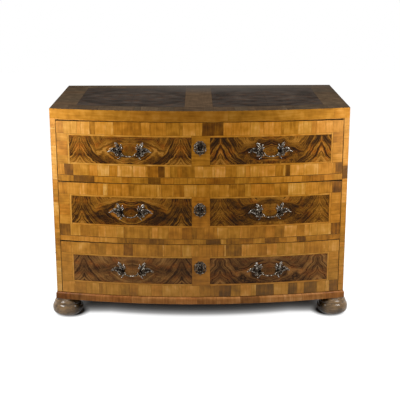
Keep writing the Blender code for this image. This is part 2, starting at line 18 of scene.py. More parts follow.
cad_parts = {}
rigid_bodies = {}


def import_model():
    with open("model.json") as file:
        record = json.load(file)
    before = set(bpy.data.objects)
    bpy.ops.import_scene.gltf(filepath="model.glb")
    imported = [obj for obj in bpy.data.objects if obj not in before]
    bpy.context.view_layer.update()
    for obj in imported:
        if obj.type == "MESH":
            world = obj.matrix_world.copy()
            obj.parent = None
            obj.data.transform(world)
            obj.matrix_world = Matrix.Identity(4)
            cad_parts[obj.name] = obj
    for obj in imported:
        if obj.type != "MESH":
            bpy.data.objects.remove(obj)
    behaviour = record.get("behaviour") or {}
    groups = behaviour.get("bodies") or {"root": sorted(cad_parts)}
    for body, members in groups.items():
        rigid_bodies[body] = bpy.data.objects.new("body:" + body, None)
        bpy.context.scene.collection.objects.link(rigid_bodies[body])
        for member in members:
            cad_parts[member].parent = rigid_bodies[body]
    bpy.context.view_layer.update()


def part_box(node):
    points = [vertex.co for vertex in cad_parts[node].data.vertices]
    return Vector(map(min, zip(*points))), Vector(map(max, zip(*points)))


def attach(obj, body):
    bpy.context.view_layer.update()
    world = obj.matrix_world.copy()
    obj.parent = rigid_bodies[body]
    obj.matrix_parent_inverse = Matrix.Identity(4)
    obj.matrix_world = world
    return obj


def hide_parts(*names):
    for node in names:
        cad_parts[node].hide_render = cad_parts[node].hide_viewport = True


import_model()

for leftover in [thing for thing in bpy.data.objects if thing.type in ("LIGHT", "CAMERA")]:
    bpy.data.objects.remove(leftover)

# %% [markdown]
# ## The camera
# A photographer of furniture stands well back with a long lens, so that the sides don't lean.
# The place, tilt and lens were worked out from the commode's corners in the photograph. The camera
# first rolls about its own axis, then turns up from looking at the floor, and then sideways.

# %% Set up the camera
CAMERA_PLACE = (-0.0123, -3.7938, 1.4640)
CAMERA_DOWN = math.radians(15.44)
CAMERA_TURN = math.radians(0.199)
CAMERA_ROLL = math.radians(-0.145)
LENS, SENSOR = 84.47, 36

bpy.ops.object.select_all(action="DESELECT")
bpy.ops.object.camera_add()
camera = bpy.context.object
camera.name = "camera"
camera.data.lens, camera.data.sensor_width = LENS, SENSOR
camera.matrix_world = (
    Matrix.Translation(CAMERA_PLACE)
    @ Matrix.Rotation(-CAMERA_TURN, 4, "Z")
    @ Matrix.Rotation(math.pi / 2 - CAMERA_DOWN, 4, "X")
    @ Matrix.Rotation(CAMERA_ROLL, 4, "Z")
)
bpy.context.scene.camera = camera
print("camera at", [round(v, 3) for v in camera.location], "lens", camera.data.lens, "mm")

# %% [markdown]
# ## A recipe for each finish
# A finish in Blender is a tree of nodes. A recipe adds one node per step and returns what the node
# gives out, so that a finish below reads like a list of steps. Sockets are named as Blender
# shows them, with _ for a space.

# %% Write the steps that add nodes
class Tree:
    """The node tree of a material or a world."""

    def __init__(self, owner):
        self.owner = owner
        owner.use_nodes = True
        self.nodes = owner.node_tree.nodes
        self.shader = self.nodes.get("Principled BSDF") or self.nodes["Background"]
        self.sockets = self.shader.inputs

    def join(self, value, socket):
        """Links an output to a socket, or writes a plain value into it."""
        if isinstance(value, bpy.types.NodeSocket):
            self.owner.node_tree.links.new(value, socket)
        else:
            socket.default_value = value

    def node(self, kind, out=0, **sockets):
        """One node with each named socket filled. Returns one of its outputs, or the node itself."""
        made = self.nodes.new("ShaderNode" + kind)
        for name, value in sockets.items():
            self.join(value, made.inputs[name.replace("_", " ")])
        return made if out is None else made.outputs[out]

    def math(self, operation, *values, clamp=False):
        """One Math node: ADD, MULTIPLY, MAXIMUM and so on."""
        made = self.node("Math", out=None)
        made.operation, made.use_clamp = operation, clamp
        for value, socket in zip(values, made.inputs):
            self.join(value, socket)
        return made.outputs[0]

    def blend(self, start, *parts):
        """A number, plus some of each part. A part is a value and how much of it."""
        for value, share in parts:
            start = self.math("MULTIPLY_ADD", value, share, start)
        return start

    def ranged(self, value, ends, to=(0, 1)):
        """Carries one range to another, and holds the value at its ends."""
        return self.node("MapRange", Value=value, From_Min=ends[0], From_Max=ends[1],
                         To_Min=to[0], To_Max=to[1])

    def mixed(self, share, first, second, how="MIX"):
        """Two colours mixed by a share from 0 to 1."""
        made = self.node("Mix", out=None)
        made.data_type, made.blend_type = "RGBA", how
        for value, place in ((share, 0), (first, 6), (second, 7)):
            self.join(value, made.inputs[place])
        return made.outputs[2]

    def ramp(self, value, stops):
        """A colour for each value: the stops are a place from 0 to 1 and a colour."""
        made = self.node("ValToRGB", out=None, Fac=value)
        handles = made.color_ramp.elements
        for _ in stops[2:]:
            handles.new(0.5)
        for handle, (place, colour) in zip(handles, stops):
            handle.position, handle.color = place, (*colour, 1)
        return made.outputs[0]

    def noise(self, where, scale, detail=2.0, rough=0.5):
        """Noise that is stretched by a scale in each direction, as wood fibres are."""
        fitted = self.node("Mapping", Vector=where, Scale=scale)
        return self.node("TexNoise", Vector=fitted, Scale=1.0, Detail=detail, Roughness=rough)

    def moved(self, where, **push):
        """A place moved by some numbers along X, Y and Z."""
        made = self.node("VectorMath", out=None)
        for value, socket in zip((where, self.node("CombineXYZ", **push)), made.inputs):
            self.join(value, socket)
        return made.outputs[0]

    def distance(self, x, y):
        """How far a point is from the middle of its map."""
        made = self.node("VectorMath", out=None)
        made.operation = "LENGTH"
        self.join(self.node("CombineXYZ", X=x, Y=y), made.inputs[0])
        return made.outputs["Value"]

    def split(self, where):
        """The three numbers of a place."""
        return self.node("SeparateXYZ", out=None, Vector=where).outputs


print("steps of a tree:", ", ".join(step for step in dir(Tree) if step[0] != "_"))

# %% Write the steps that read the piece and fill the shader
class Recipe(Tree):
    """A tree that reads where it is on a piece, and what is written there."""

    def grain_map(self):
        """The place on the piece's own flat map, in metres."""
        made = self.node("UVMap", out=None)
        made.uv_map = "grain"
        return made.outputs[0]

    def number(self, name):
        """A number that is written on the faces or points of the piece."""
        made = self.node("Attribute", out=None)
        made.attribute_name = name
        return made.outputs["Fac"]

    def place(self):
        """The point on the piece, in metres: its Object coordinates."""
        return self.node("TexCoord", out="Object")

    def aside(self):
        """How far a point lies to either side of the middle of the commode."""
        return self.math("ABSOLUTE", self.split(self.place())[0])

    def tinted(self, share, colour):
        """Mixes one more colour into the finished recipe."""
        base = self.sockets["Base Color"]
        self.join(self.mixed(share, base.links[0].from_socket, (*colour, 1)), base)
        return self

    def surface(self, colour, roughness, height, depth, strength=0.5, **plain):
        """Joins a colour, a roughness and a height to the shader. Plain values go on its sockets."""
        bump = self.node("Bump", Height=height, Strength=strength, Distance=depth)
        for value, name in ((colour, "Base Color"), (roughness, "Roughness"), (bump, "Normal")):
            self.join(value, self.sockets[name])
        for name, value in plain.items():
            self.sockets[name.replace("_", " ")].default_value = value
        return self

    def seen(self):
        """1 for the rays that show a thing to the camera, and 0 for those that carry light."""
        rays = self.node("LightPath", out=None).outputs
        first = self.math("MAXIMUM", rays["Is Camera Ray"], rays["Is Glossy Ray"])
        return self.math("MAXIMUM", first, rays["Is Transmission Ray"])


def new_finish(name):
    """An empty finish."""
    return Recipe(bpy.data.materials.new(name))


print("steps of a recipe:", ", ".join(step for step in dir(Recipe) if not hasattr(Tree, step)))

# %% [markdown]
# ## Light and floor
# A studio lights polished wood with two soft boxes, one beyond each end of the piece and
# close to it. Each end of a bowed front then turns towards its own box and glows, while the
# middle stays deeper in tone. A wide box overhead and one behind keep the other sides clear.
# The background is white to the camera and in reflections, but gives off much less
# light, so the shadow under the commode stays.

# %% Place the soft boxes
SOFT_BOXES = {
    "box_left": ((-1.12, -0.76, 0.98), (-0.30, -0.20, 0.48), (0.5, 0.6), 11.8),
    "box_right": ((1.12, -0.76, 0.98), (0.30, -0.20, 0.48), (0.5, 0.6), 10.4),
    "box_above": ((0.0, -0.2, 2.6), (0.0, 0.0, 0.8), (2.4, 1.4), 22),
    "box_behind": ((0.5, 2.3, 1.5), (0.0, 0.3, 0.45), (1.6, 1.2), 34),
}
for name, (place, aim, size, power) in SOFT_BOXES.items():
    bpy.ops.object.select_all(action="DESELECT")
    bpy.ops.object.light_add(type="AREA", location=place)
    box = bpy.context.object
    box.name = name
    box.data.shape = "RECTANGLE"
    box.data.size, box.data.size_y = size
    box.data.energy = power
    box.visible_camera = False
    box.rotation_euler = (Vector(aim) - Vector(place)).to_track_quat("-Z", "Y").to_euler()
print("soft boxes:", list(SOFT_BOXES))

# %% Make the background white
studio = Recipe(bpy.data.worlds.new("studio"))
bpy.context.scene.world = studio.owner
studio.join(studio.ranged(studio.seen(), (0, 1), (0.10, 1.0)), studio.sockets["Strength"])
studio.sockets["Color"].default_value = (1, 1, 1, 1)
bpy.context.scene.view_settings.view_transform = "Standard"
print("view transform:", bpy.context.scene.view_settings.view_transform)

# %% [markdown]
# The floor is a roll of white paper. For the camera and in reflections it glows up to plain white,
# but under the commode the glow is held back, which paints the edge of the shadow there: it follows
# the bow of the front, and a painted shadow darkens the paper just inside each front foot. Towards
# the commode the paper is a mid grey, so that it doesn't light the lower drawer from beneath.

# %% Lay the floor
# Painted shadow: where the paper's glow is held back, under the commode, round its bowed front and beside the
# front feet.
SHADOW_HALF_WIDTH, SHADOW_FRONT, SHADOW_BACK = 0.56, 0.254, 0.25
SHADOW_BOW, MOST_BOW = 0.31, 0.041
SHADOW_FADE = (-0.120, 0.025)
PAINTED_FOOT_SHADOW, PAINTED_FOOT_SHADOW_FADE = (0.5255, 0.1950), (0.048, 0.076)
PAINTED_SHADOW_LEVELS = (
    (0.00, 0.010), (0.10, 0.014), (0.23, 0.030), (0.38, 0.062), (0.52, 0.150), (0.67, 0.310),
    (0.74, 0.480), (0.82, 0.740), (0.90, 0.930), (1.00, 1.000),
)
bpy.ops.object.select_all(action="DESELECT")
bpy.ops.mesh.primitive_plane_add(size=14)
floor = bpy.context.object
floor.name = "studio_floor"
paper = new_finish("white_paper")
for name, value in (("Roughness", 0.9), ("Specular IOR Level", 0.0), ("Emission Color", (1, 1, 1, 1))):
    paper.sockets[name].default_value = value
seen = paper.seen()
across, along, _ = paper.split(paper.place())
bowed = paper.math("MULTIPLY", paper.math("MULTIPLY", across, across), SHADOW_BOW)
bowed = paper.math("MINIMUM", bowed, MOST_BOW)
past_side = paper.math("SUBTRACT", paper.aside(), SHADOW_HALF_WIDTH)
past_front = paper.math("SUBTRACT", paper.math("SUBTRACT", bowed, SHADOW_FRONT), along)
past_back = paper.math("SUBTRACT", along, SHADOW_BACK)
away = paper.math("MAXIMUM", past_side, paper.math("MAXIMUM", past_front, past_back))
glow = paper.ramp(paper.ranged(away, SHADOW_FADE), [(place, (level,) * 3) for place, level in PAINTED_SHADOW_LEVELS])
to_foot = paper.distance(
    paper.math("SUBTRACT", paper.aside(), PAINTED_FOOT_SHADOW[0]), paper.math("ADD", along, PAINTED_FOOT_SHADOW[1]))
glow = paper.math("MULTIPLY", glow, paper.ranged(to_foot, PAINTED_FOOT_SHADOW_FADE))
paper.join(paper.mixed(seen, (0.22, 0.22, 0.22, 1), (0.28, 0.28, 0.28, 1)), paper.sockets["Base Color"])
paper.join(paper.math("MULTIPLY", seen, glow), paper.sockets["Emission Strength"])
floor.data.materials.append(paper.owner)
print("floor of", tuple(round(v, 1) for v in floor.dimensions), "m")

# %% [markdown]
# ## The crossbanding
# The golden border is walnut sapwood cut across the log into short leaves, so its grain runs
# square to the edge. Old varnish has turned it the colour of honey. Each leaf has its own tone.
# The finish reads the piece's own map, in metres, with the grain upwards on every leaf. Noise
# that is stretched along the grain gives the streaks, finer noise the fibres and pores. Towards the
# floor a thin pale veil lies over the wood, and at the ends of the front a pale sheen is painted in
# as a highlight, stronger higher up.

# %% Mix the crossbanding finish
VEIL_AND_SHEEN, GLUE = (0.80, 0.56, 0.30, 1), (0.030, 0.012, 0.004, 1)


def veiled_with_painted_sheen(wood, colour, most):
    """A thin pale veil over a colour, thicker towards the floor, and a painted sheen at the ends of the
    front, stronger higher up.
    """
    height = wood.split(wood.place())[2]
    high_up = wood.ranged(height, (0.30, 0.80), (0, most))
    # Painted sheen: the ends of the front are paled more the higher they stand.
    corners = wood.math("MULTIPLY", wood.ranged(wood.aside(), (0.38, 0.56)), high_up)
    veil = wood.math("MAXIMUM", wood.ranged(height, (0.50, 0.12), (0, most)), corners)
    return wood.mixed(veil, colour, VEIL_AND_SHEEN)


def veneer_finish(name, shades, streaks=0.8, shine=0.34, level=0.08, veil_and_sheen=0.0):
    """Polished veneer: the grain of each leaf, its own tone and the dark glue line round it."""
    wood = new_finish(name)
    where, joint = wood.grain_map(), wood.number("joint")
    drift = wood.blend(-0.005, (wood.noise(where, (34, 9, 1), 1), 0.010))
    bent = wood.moved(where, X=drift)
    figure = wood.noise(bent, (120, 8, 1), 4, 0.7)
    fibre = wood.noise(bent, (1500, 46, 1))
    start = wood.math("SUBTRACT", wood.number("tone"), 0.45 + 0.5 * streaks)
    shade = wood.blend(start, (figure, streaks), (wood.noise(where, (22, 30, 1)), 0.7), (fibre, 0.2))
    warm = wood.blend(0.1, (wood.number("sheet"), 0.6))
    colour = wood.mixed(warm, wood.ramp(shade, shades), (1.10, 0.88, 0.75, 1), "MULTIPLY")
    gap = wood.ranged(wood.noise(where, (40, 60, 1)), (0.40, 0.65))
    glue = wood.math("MULTIPLY", joint, wood.blend(0.2, (gap, 0.7)))
    if veil_and_sheen:
        colour = veiled_with_painted_sheen(wood, colour, veil_and_sheen)
    colour = wood.mixed(glue, colour, GLUE)
    rough = wood.blend(shine - 0.10, (fibre, 0.22), (joint, 0.25))
    height = wood.blend(wood.math("SUBTRACT", fibre, joint), (figure, 0.6))
    return wood.surface(colour, rough, height, 0.0004, 0.25, Specular_IOR_Level=level)


HONEY = [
    (0.00, (0.070, 0.025, 0.003)), (0.25, (0.180, 0.068, 0.005)), (0.45, (0.340, 0.138, 0.009)),
    (0.65, (0.500, 0.215, 0.018)), (0.85, (0.640, 0.305, 0.045)), (1.00, (0.760, 0.420, 0.110)),
]
honey_walnut = veneer_finish("honey_walnut", HONEY, veil_and_sheen=0.10)
print("crossbanding finish:", honey_walnut.owner.name)

# %% [markdown]
# ## The figured panels
# Each dark panel is one slice from the fork of a walnut tree, opened like a book, so the
# figure on the right mirrors the one on the left. The rings of such a fork sweep down in
# arcs, and meet beneath the middle. An eye lies in them, where a small branch began.
# The map of a panel starts at the middle of the arcs and is folded where the leaves
# meet, so all halves show the same rings. The finish measures how far a point is from the
# middle of the arcs, or near the eye from the eye, and bends that with noise. Along these
# bent rings it draws many lines and a few dark veins. The part inside the arcs stays golden.

# %% Find the bent rings
EYE_BELOW, EYE_SQUEEZED, EYE_RING, EYE_REACH = 0.115, 2.1, 0.095, (0.130, 0.085)


def bent_rings(wood, sheet):
    """Which ring a point is on, bent as wood bends, and its place along that ring."""
    flat_across, flat_up, _ = wood.split(wood.grain_map())
    where = wood.node("CombineXYZ", X=flat_across, Y=flat_up, Z=sheet)
    sway = wood.math("SUBTRACT", wood.noise(where, (9, 13, 1)), 0.5)
    ripple = wood.math("SUBTRACT", wood.noise(where, (40, 52, 1), 3), 0.5)
    across, upward = wood.blend(flat_across, (sway, 0.08)), wood.blend(flat_up, (sway, 0.06))
    arcs = wood.distance(across, upward)
    over_eye = wood.math("MULTIPLY", wood.math("ADD", upward, EYE_BELOW), EYE_SQUEEZED)
    eye = wood.distance(across, over_eye)
    bend = wood.math("SUBTRACT", wood.math("ADD", eye, EYE_RING), arcs)
    ring = wood.blend(arcs, (wood.ranged(eye, EYE_REACH), bend), (ripple, 0.015))
    turn = wood.math("ARCTAN2", across, wood.math("MULTIPLY", upward, -1))
    along = wood.math("MULTIPLY", turn, 0.06)
    return where, ring, wood.node("CombineXYZ", X=ring, Y=along, Z=sheet)


print("the eye of a panel lies", EYE_BELOW, "m below the middle of its arcs")

# %% Mix the figured finish
GOLDEN_PART = ((0.0, 0.56), (0.14, 0.56), (0.19, 0.36), (0.26, 0.52))


def figured_finish(name, shades, shine=0.30, level=0.08, rings=74, strong=1.0):
    """Book-matched walnut: bent lines and dark veins outside, and a golden part within."""
    wood = new_finish(name)
    where, ring, on_rings = bent_rings(wood, wood.number("sheet"))
    bands = wood.noise(on_rings, (rings, 11, 1), 4, 0.74)
    lines = wood.noise(on_rings, (rings * 2.0, 13, 9), 3, 0.65)
    hairs = wood.noise(on_rings, (rings * 4.5, 20, 4), 2, 0.6)
    fibre = wood.noise(on_rings, (1500, 160, 1))
    burl, cloud = wood.noise(where, (210, 260, 1), 3, 0.7), wood.noise(where, (15, 24, 3))
    vein = wood.ranged(wood.noise(on_rings, (rings * 1.3, 15, 5)), (0.60, 0.69))
    golden = wood.ramp(ring, [(place, (grey,) * 3) for place, grey in GOLDEN_PART])
    grain = wood.blend(-2.45, (bands, 1.5), (lines, 2.2), (hairs, 1.2))
    grain = wood.math("MULTIPLY", grain, wood.ranged(ring, (0.14, 0.19), (0.55, 1.0)))
    start = wood.math("ADD", golden, wood.math("SUBTRACT", wood.number("tone"), 1.50))
    shade = wood.blend(
        start, (grain, strong), (vein, -0.36 * strong), (fibre, 0.2), (burl, 0.7), (cloud, 1.2))
    glow = wood.ranged(wood.noise(where, (30, 38, 2), 3), (0.5, 0.7))
    colour = wood.mixed(glow, wood.ramp(shade, shades), (1.12, 0.86, 0.72, 1), "MULTIPLY")
    colour = wood.mixed(wood.math("MULTIPLY", wood.number("joint"), 0.4), colour, (0.020, 0.008, 0.002, 1))
    rough, height = wood.blend(shine - 0.1, (fibre, 0.25)), wood.blend(fibre, (lines, 0.5))
    return wood.surface(colour, rough, height, 0.0004, 0.25, Specular_IOR_Level=level)


ROOT = [
    (0.00, (0.010, 0.004, 0.001)), (0.20, (0.038, 0.014, 0.002)), (0.40, (0.110, 0.041, 0.004)),
    (0.58, (0.215, 0.083, 0.008)), (0.78, (0.340, 0.140, 0.014)), (1.00, (0.480, 0.215, 0.035)),
]
PLUM = [
    (0.00, (0.014, 0.006, 0.002)), (0.25, (0.050, 0.021, 0.007)), (0.50, (0.130, 0.056, 0.017)),
    (0.75, (0.235, 0.104, 0.029)), (1.00, (0.360, 0.175, 0.050)),
]
root_walnut = figured_finish("root_walnut", ROOT)
plum_walnut = figured_finish("plum_walnut", PLUM, rings=84, strong=0.85)
print("panel finishes:", root_walnut.owner.name, plum_walnut.owner.name)

# %% [markdown]
# ## Plain wood and iron inside
# The case, drawer boxes and back are pine, left bare: pale wood with long, close lines.
# Nobody sees much of it, so the maker didn't polish it. The locks are forged iron. The inside of
# each keyhole and bolt slot is painted near black as shade, and the edges of the fronts and rails,
# which stand in the gaps between the parts, are painted dark as shade. These finishes read Object
# coordinates, which are metres on the real piece.

# %% Mix the finishes of the inside
def pine_finish(name, along, pale=(0.62, 0.42, 0.21), dark=(0.36, 0.19, 0.07)):
    """Bare pine whose grain runs along one axis: 0, 1 or 2."""
    wood = new_finish(name)
    where = wood.place()

    def grained(place, across, lengthways, *detail):
        scale = [across] * 3
        scale[along] = lengthways
        return wood.noise(place, scale, *detail)

    push = wood.math("MULTIPLY", grained(where, 5, 1.6, 1), 0.05)
    bent = wood.moved(where, **{axis: push for axis in "XYZ" if axis != "XYZ"[along]})
    rings, fibre = grained(bent, 75, 1.2, 2, 0.6), grained(where, 900, 24)
    shade = wood.blend(-0.60, (rings, 1.5), (fibre, 0.35), (grained(where, 4, 2.5), 0.5))
    between = [0.5 * (p + d) for p, d in zip(pale, dark)]
    colour = wood.ramp(shade, [(0.10, dark), (0.40, between), (0.75, pale), (1.00, pale)])
    rough, height = wood.blend(0.55, (fibre, 0.2)), wood.math("ADD", rings, fibre)
    return wood.surface(colour, rough, height, 0.0005, 0.3, Specular_IOR_Level=0.25)


def iron_finish(name):
    """Old forged iron: dull grey with freckles of rust."""
    iron = new_finish(name)
    where = iron.place()
    clouds = iron.noise(where, (45,) * 3, 3, 0.6)
    rust = iron.noise(where, (160,) * 3, 3, 0.7)
    grey = iron.ramp(clouds, [(0.30, (0.055, 0.055, 0.058)), (0.70, (0.150, 0.148, 0.150))])
    freckles = iron.ramp(rust, [(0.56, (0, 0, 0)), (0.68, (1, 1, 1))])
    colour = iron.mixed(freckles, grey, (0.120, 0.045, 0.018, 1))
    iron.join(iron.math("MULTIPLY_ADD", rust, -0.5, 1.1, clamp=True), iron.sockets["Metallic"])
    height = iron.math("ADD", iron.noise(where, (1100,) * 3), rust)
    return iron.surface(colour, iron.blend(0.30, (rust, 0.45)), height, 0.0004, 0.4)


def painted_shade_finish(name):
    """Painted shade for the inside of a keyhole or slot: near-black wood."""
    wood = new_finish(name)
    shade_speckle = wood.noise(wood.place(), (600,) * 3, 3, 0.6)
    colour = wood.ramp(shade_speckle, [(0.3, (0.004, 0.003, 0.002)), (0.8, (0.020, 0.012, 0.007))])
    return wood.surface(colour, wood.blend(0.6, (shade_speckle, 0.2)), shade_speckle, 0.0004, 0.4, Specular_IOR_Level=0.1)


old_iron = iron_finish("old_iron")
painted_hole_shade = painted_shade_finish("painted_hole_shade")
pine_across = pine_finish("pine_across", 0)
pine_deep = pine_finish("pine_deep", 1)
pine_back = pine_finish("pine_back", 0, (0.40, 0.25, 0.12), (0.20, 0.10, 0.04))
# Painted shade: a near-black pine for the edges that stand in the gaps between fronts, rails and sides.
painted_gap_shade = pine_finish("painted_gap_shade", 0, (0.070, 0.036, 0.014), (0.022, 0.010, 0.004))
print("finishes so far:", [finish.name for finish in bpy.data.materials])

# %% [markdown]
# ## A maker's hands: block, choose, saw
# A few moves repeat in all the woodwork. A block is a cube primitive added at its size and
# place. Choosing selects faces by where they are and which way they look, because a script has
# no mouse. Sawing is Bisect: it cuts only what is selected, so a line can run over one field of
# the veneer and stop at its edge, as a real joint does. Softening is the bevel tool.

# %% Helpers for the woodwork
FRONT, BACK = Vector((0, -1, 0)), Vector((0, 1, 0))
RIGHT, LEFT = Vector((1, 0, 0)), Vector((-1, 0, 0))
UP, DOWN = Vector((0, 0, 1)), Vector((0, 0, -1))
SAW_REACH, CLOSE = 0.00001, 0.0001
chance = random.Random(1740)


def added(tool, **settings):
    """Adds a primitive with nothing else selected, and applies its place and size."""
    bpy.ops.object.select_all(action="DESELECT")
    tool(**settings)
    bpy.ops.object.transform_apply(location=True, rotation=True, scale=True)
    return bpy.context.object


def coat(piece, *finishes):
    """Gives a piece its finishes, in the order of their slots."""
    piece.data.materials.clear()
    for finish in finishes:
        piece.data.materials.append(finish.owner)


def block(name, low, high, *finishes):
    """A block of wood between two corners, opened for work."""
    low, high = Vector(low), Vector(high)
    piece = added(bpy.ops.mesh.primitive_cube_add, size=1, location=(low + high) / 2, scale=high - low)
    piece.name = piece.data.name = name
    piece.data.uv_layers[0].name = "grain"
    coat(piece, *finishes)
    work_on(piece)
    return piece


def alone(piece):
    """Selects one piece and nothing else."""
    bpy.ops.object.select_all(action="DESELECT")
    piece.select_set(True)
    bpy.context.view_layer.objects.active = piece


def work_on(piece):
    """Opens one piece in edit mode."""
    alone(piece)
    bpy.ops.object.mode_set(mode="EDIT")


def put_down():
    """Back to object mode."""
    bpy.ops.object.mode_set(mode="OBJECT")


print("all random choices follow from one seed")

# %% Helpers that choose, soften, paint and saw
def choose(piece, test, kind="faces"):
    """Selects the faces or edges that pass a test, and nothing else. Returns how many."""
    bpy.ops.mesh.select_mode(type={"faces": "FACE", "edges": "EDGE"}[kind])
    bpy.ops.mesh.select_all(action="DESELECT")
    mesh = bmesh.from_edit_mesh(piece.data)
    found = [part for part in getattr(mesh, kind) if test(part)]
    for part in found:
        part.select_set(True)
    bmesh.update_edit_mesh(piece.data)
    return len(found)


def soften(piece, along_edge, offset, segments=2):
    """Bevels the edges whose points all pass a test."""
    choose(piece, lambda edge: all(along_edge(vertex.co) for vertex in edge.verts), "edges")
    bpy.ops.mesh.bevel(offset=offset, segments=segments, affect="EDGES")


def paint(piece, slot_of):
    """Gives each face the slot that a rule finds for it."""
    mesh = bmesh.from_edit_mesh(piece.data)
    for face in mesh.faces:
        face.material_index = slot_of(face)
    bmesh.update_edit_mesh(piece.data)


def plane(axis, place, middle=(0, 0, 0)):
    """A point and a normal for Bisect: a plane square to one axis."""
    point, normal = Vector(middle), Vector((0, 0, 0))
    point[axis], normal[axis] = place, 1
    return point, normal


def slice_all(axis, place):
    """Cuts straight through the open piece."""
    point, normal = plane(axis, place)
    bpy.ops.mesh.select_all(action="SELECT")
    bpy.ops.mesh.bisect(plane_co=point, plane_no=normal, threshold=SAW_REACH)


def in_field(face, looks, low, high):
    """Whether a face looks that way and its middle lies between two corners."""
    middle = face.calc_center_median()
    return face.normal.dot(looks) > 0.9 and all(a <= m <= b for a, m, b in zip(low, middle, high))


print("woodwork helpers are ready")

# %% [markdown]
# ## The bow
# Seen from above, the front is part of a circle of 2.33 m radius. A maker veneers the flat
# sheets first and then presses them on the bowed ground. We do the same: each front is laid out
# flat, with its face at depth 0, and pressed at the end. Blender's bend tool would
# shorten the ends of the sheet, so each point is moved straight back by the circle's own sum.

# %% Helpers for the bow
BOW_RADIUS, BOW_CENTRE = 2.332007, 2.011234
CORNER = -0.248772
HALF_WIDTH = 0.575
FLAT = -0.330
BOW_STEPS, STAVE_SHIFT = 48, 0.00013


def bow(x, depth=0.0):
    """Where a point lies that is this deep behind the bowed face, at x."""
    return BOW_CENTRE - math.sqrt((BOW_RADIUS - depth) ** 2 - x * x)


def pressed(x, y, z):
    """Where a point of a flat front lies on the bow."""
    return x, bow(x, y - FLAT), z


def cut_staves(half=HALF_WIDTH):
    """Cuts a flat front into narrow staves, so that it can follow the bow."""
    for step in range(1, BOW_STEPS):
        slice_all(0, half * (2 * step / BOW_STEPS - 1) + STAVE_SHIFT)


def press(piece, where):
    """Moves each point of a piece to where a rule says it lies."""
    for vertex in piece.data.vertices:
        vertex.co = where(*vertex.co)


def smooth(piece, angle):
    """Smooth shading, with edges sharper than the angle kept crisp."""
    alone(piece)
    bpy.ops.object.shade_smooth_by_angle(angle=math.radians(angle))


print("the bow is", round(bow(HALF_WIDTH) - bow(0), 3), "m deep")

# %% [markdown]
# ## Leaves of veneer
# After sawing, each face of a field is one leaf. It gets a number, and a row in a cutting list:
# how its grain runs, how dark it is, and which finish it has. Insetting every leaf by half a
# millimetre leaves a narrow rim round each, which the finish darkens as the glue line. Last,
# each leaf's map is laid along its own grain. A book-matched leaf is folded about the
# panel's middle and again near its end.

# %% Write the cutting list
class Sheet:
    """The cutting list of one veneered piece."""

    def __init__(self, piece):
        self.piece = piece
        self.leaves = {}

    def strip(self, looks, run, joints, tones, lengthways=False, width=0.0006):
        """Cuts a moulded strip across at each joint, and names the leaves between the joints."""
        bpy.ops.mesh.select_mode(type="FACE")
        for place in joints:
            for edge in (place - width / 2, place + width / 2):
                slice_all(run, edge)
        for number in range(len(joints) + 1):
            self.leaves[number + 1] = dict(
                looks=looks, run=run, slide=any_slide(), tone=chance.uniform(*tones), long=lengthways)
        mesh = bmesh.from_edit_mesh(self.piece.data)
        numbers, rims = mesh.faces.layers.int.new("leaf"), mesh.faces.layers.float.new("joint")
        for face in mesh.faces:
            place = face.calc_center_median()[run]
            face[numbers] = 1 + sum(place > joint for joint in joints)
            face[rims] = 1.0 if any(abs(place - joint) < width / 2 for joint in joints) else 0.0
        bmesh.update_edit_mesh(self.piece.data)

    def glue_lines(self, width=0.0005):
        """Insets every leaf, and marks the rim that this leaves."""
        numbers = bmesh.from_edit_mesh(self.piece.data).faces.layers.int["leaf"]
        choose(self.piece, lambda face: face[numbers] > 0)
        bpy.ops.mesh.inset(thickness=width, depth=0, use_individual=True, use_even_offset=True)
        mesh = bmesh.from_edit_mesh(self.piece.data)
        numbers, rims = mesh.faces.layers.int["leaf"], mesh.faces.layers.float.new("joint")
        for face in mesh.faces:
            face[rims] = 1.0 if face[numbers] and not face.select else 0.0
        bmesh.update_edit_mesh(self.piece.data)

    def lay_grain(self):
        """Writes the map, the tone and the sheet number of every face."""
        data = self.piece.data
        for name in ("tone", "sheet"):
            data.attributes.new(name, "FLOAT", "FACE")
        numbers, tones, sheets = (data.attributes[name].data for name in ("leaf", "tone", "sheet"))
        where = data.uv_layers["grain"].data
        for face in data.polygons:
            leaf = self.leaves.get(numbers[face.index].value)
            tones[face.index].value = leaf["tone"] if leaf else 0.5
            sheets[face.index].value = leaf.get("sheet", leaf["slide"].x % 1) if leaf else 0.0
            for corner in face.loop_indices:
                point = data.vertices[data.loops[corner].vertex_index].co
                where[corner].uv = flat_place(point, face, leaf)

    def glue_up(self, where, body, node=None, angle=20):
        """Lays the grain, presses the piece by a rule and hands it over."""
        put_down()
        self.lay_grain()
        press(self.piece, where)
        smooth(self.piece, angle)
        hand_over(self.piece, body, node)


print("steps of a sheet:", ", ".join(step for step in dir(Sheet) if step[0] != "_"))

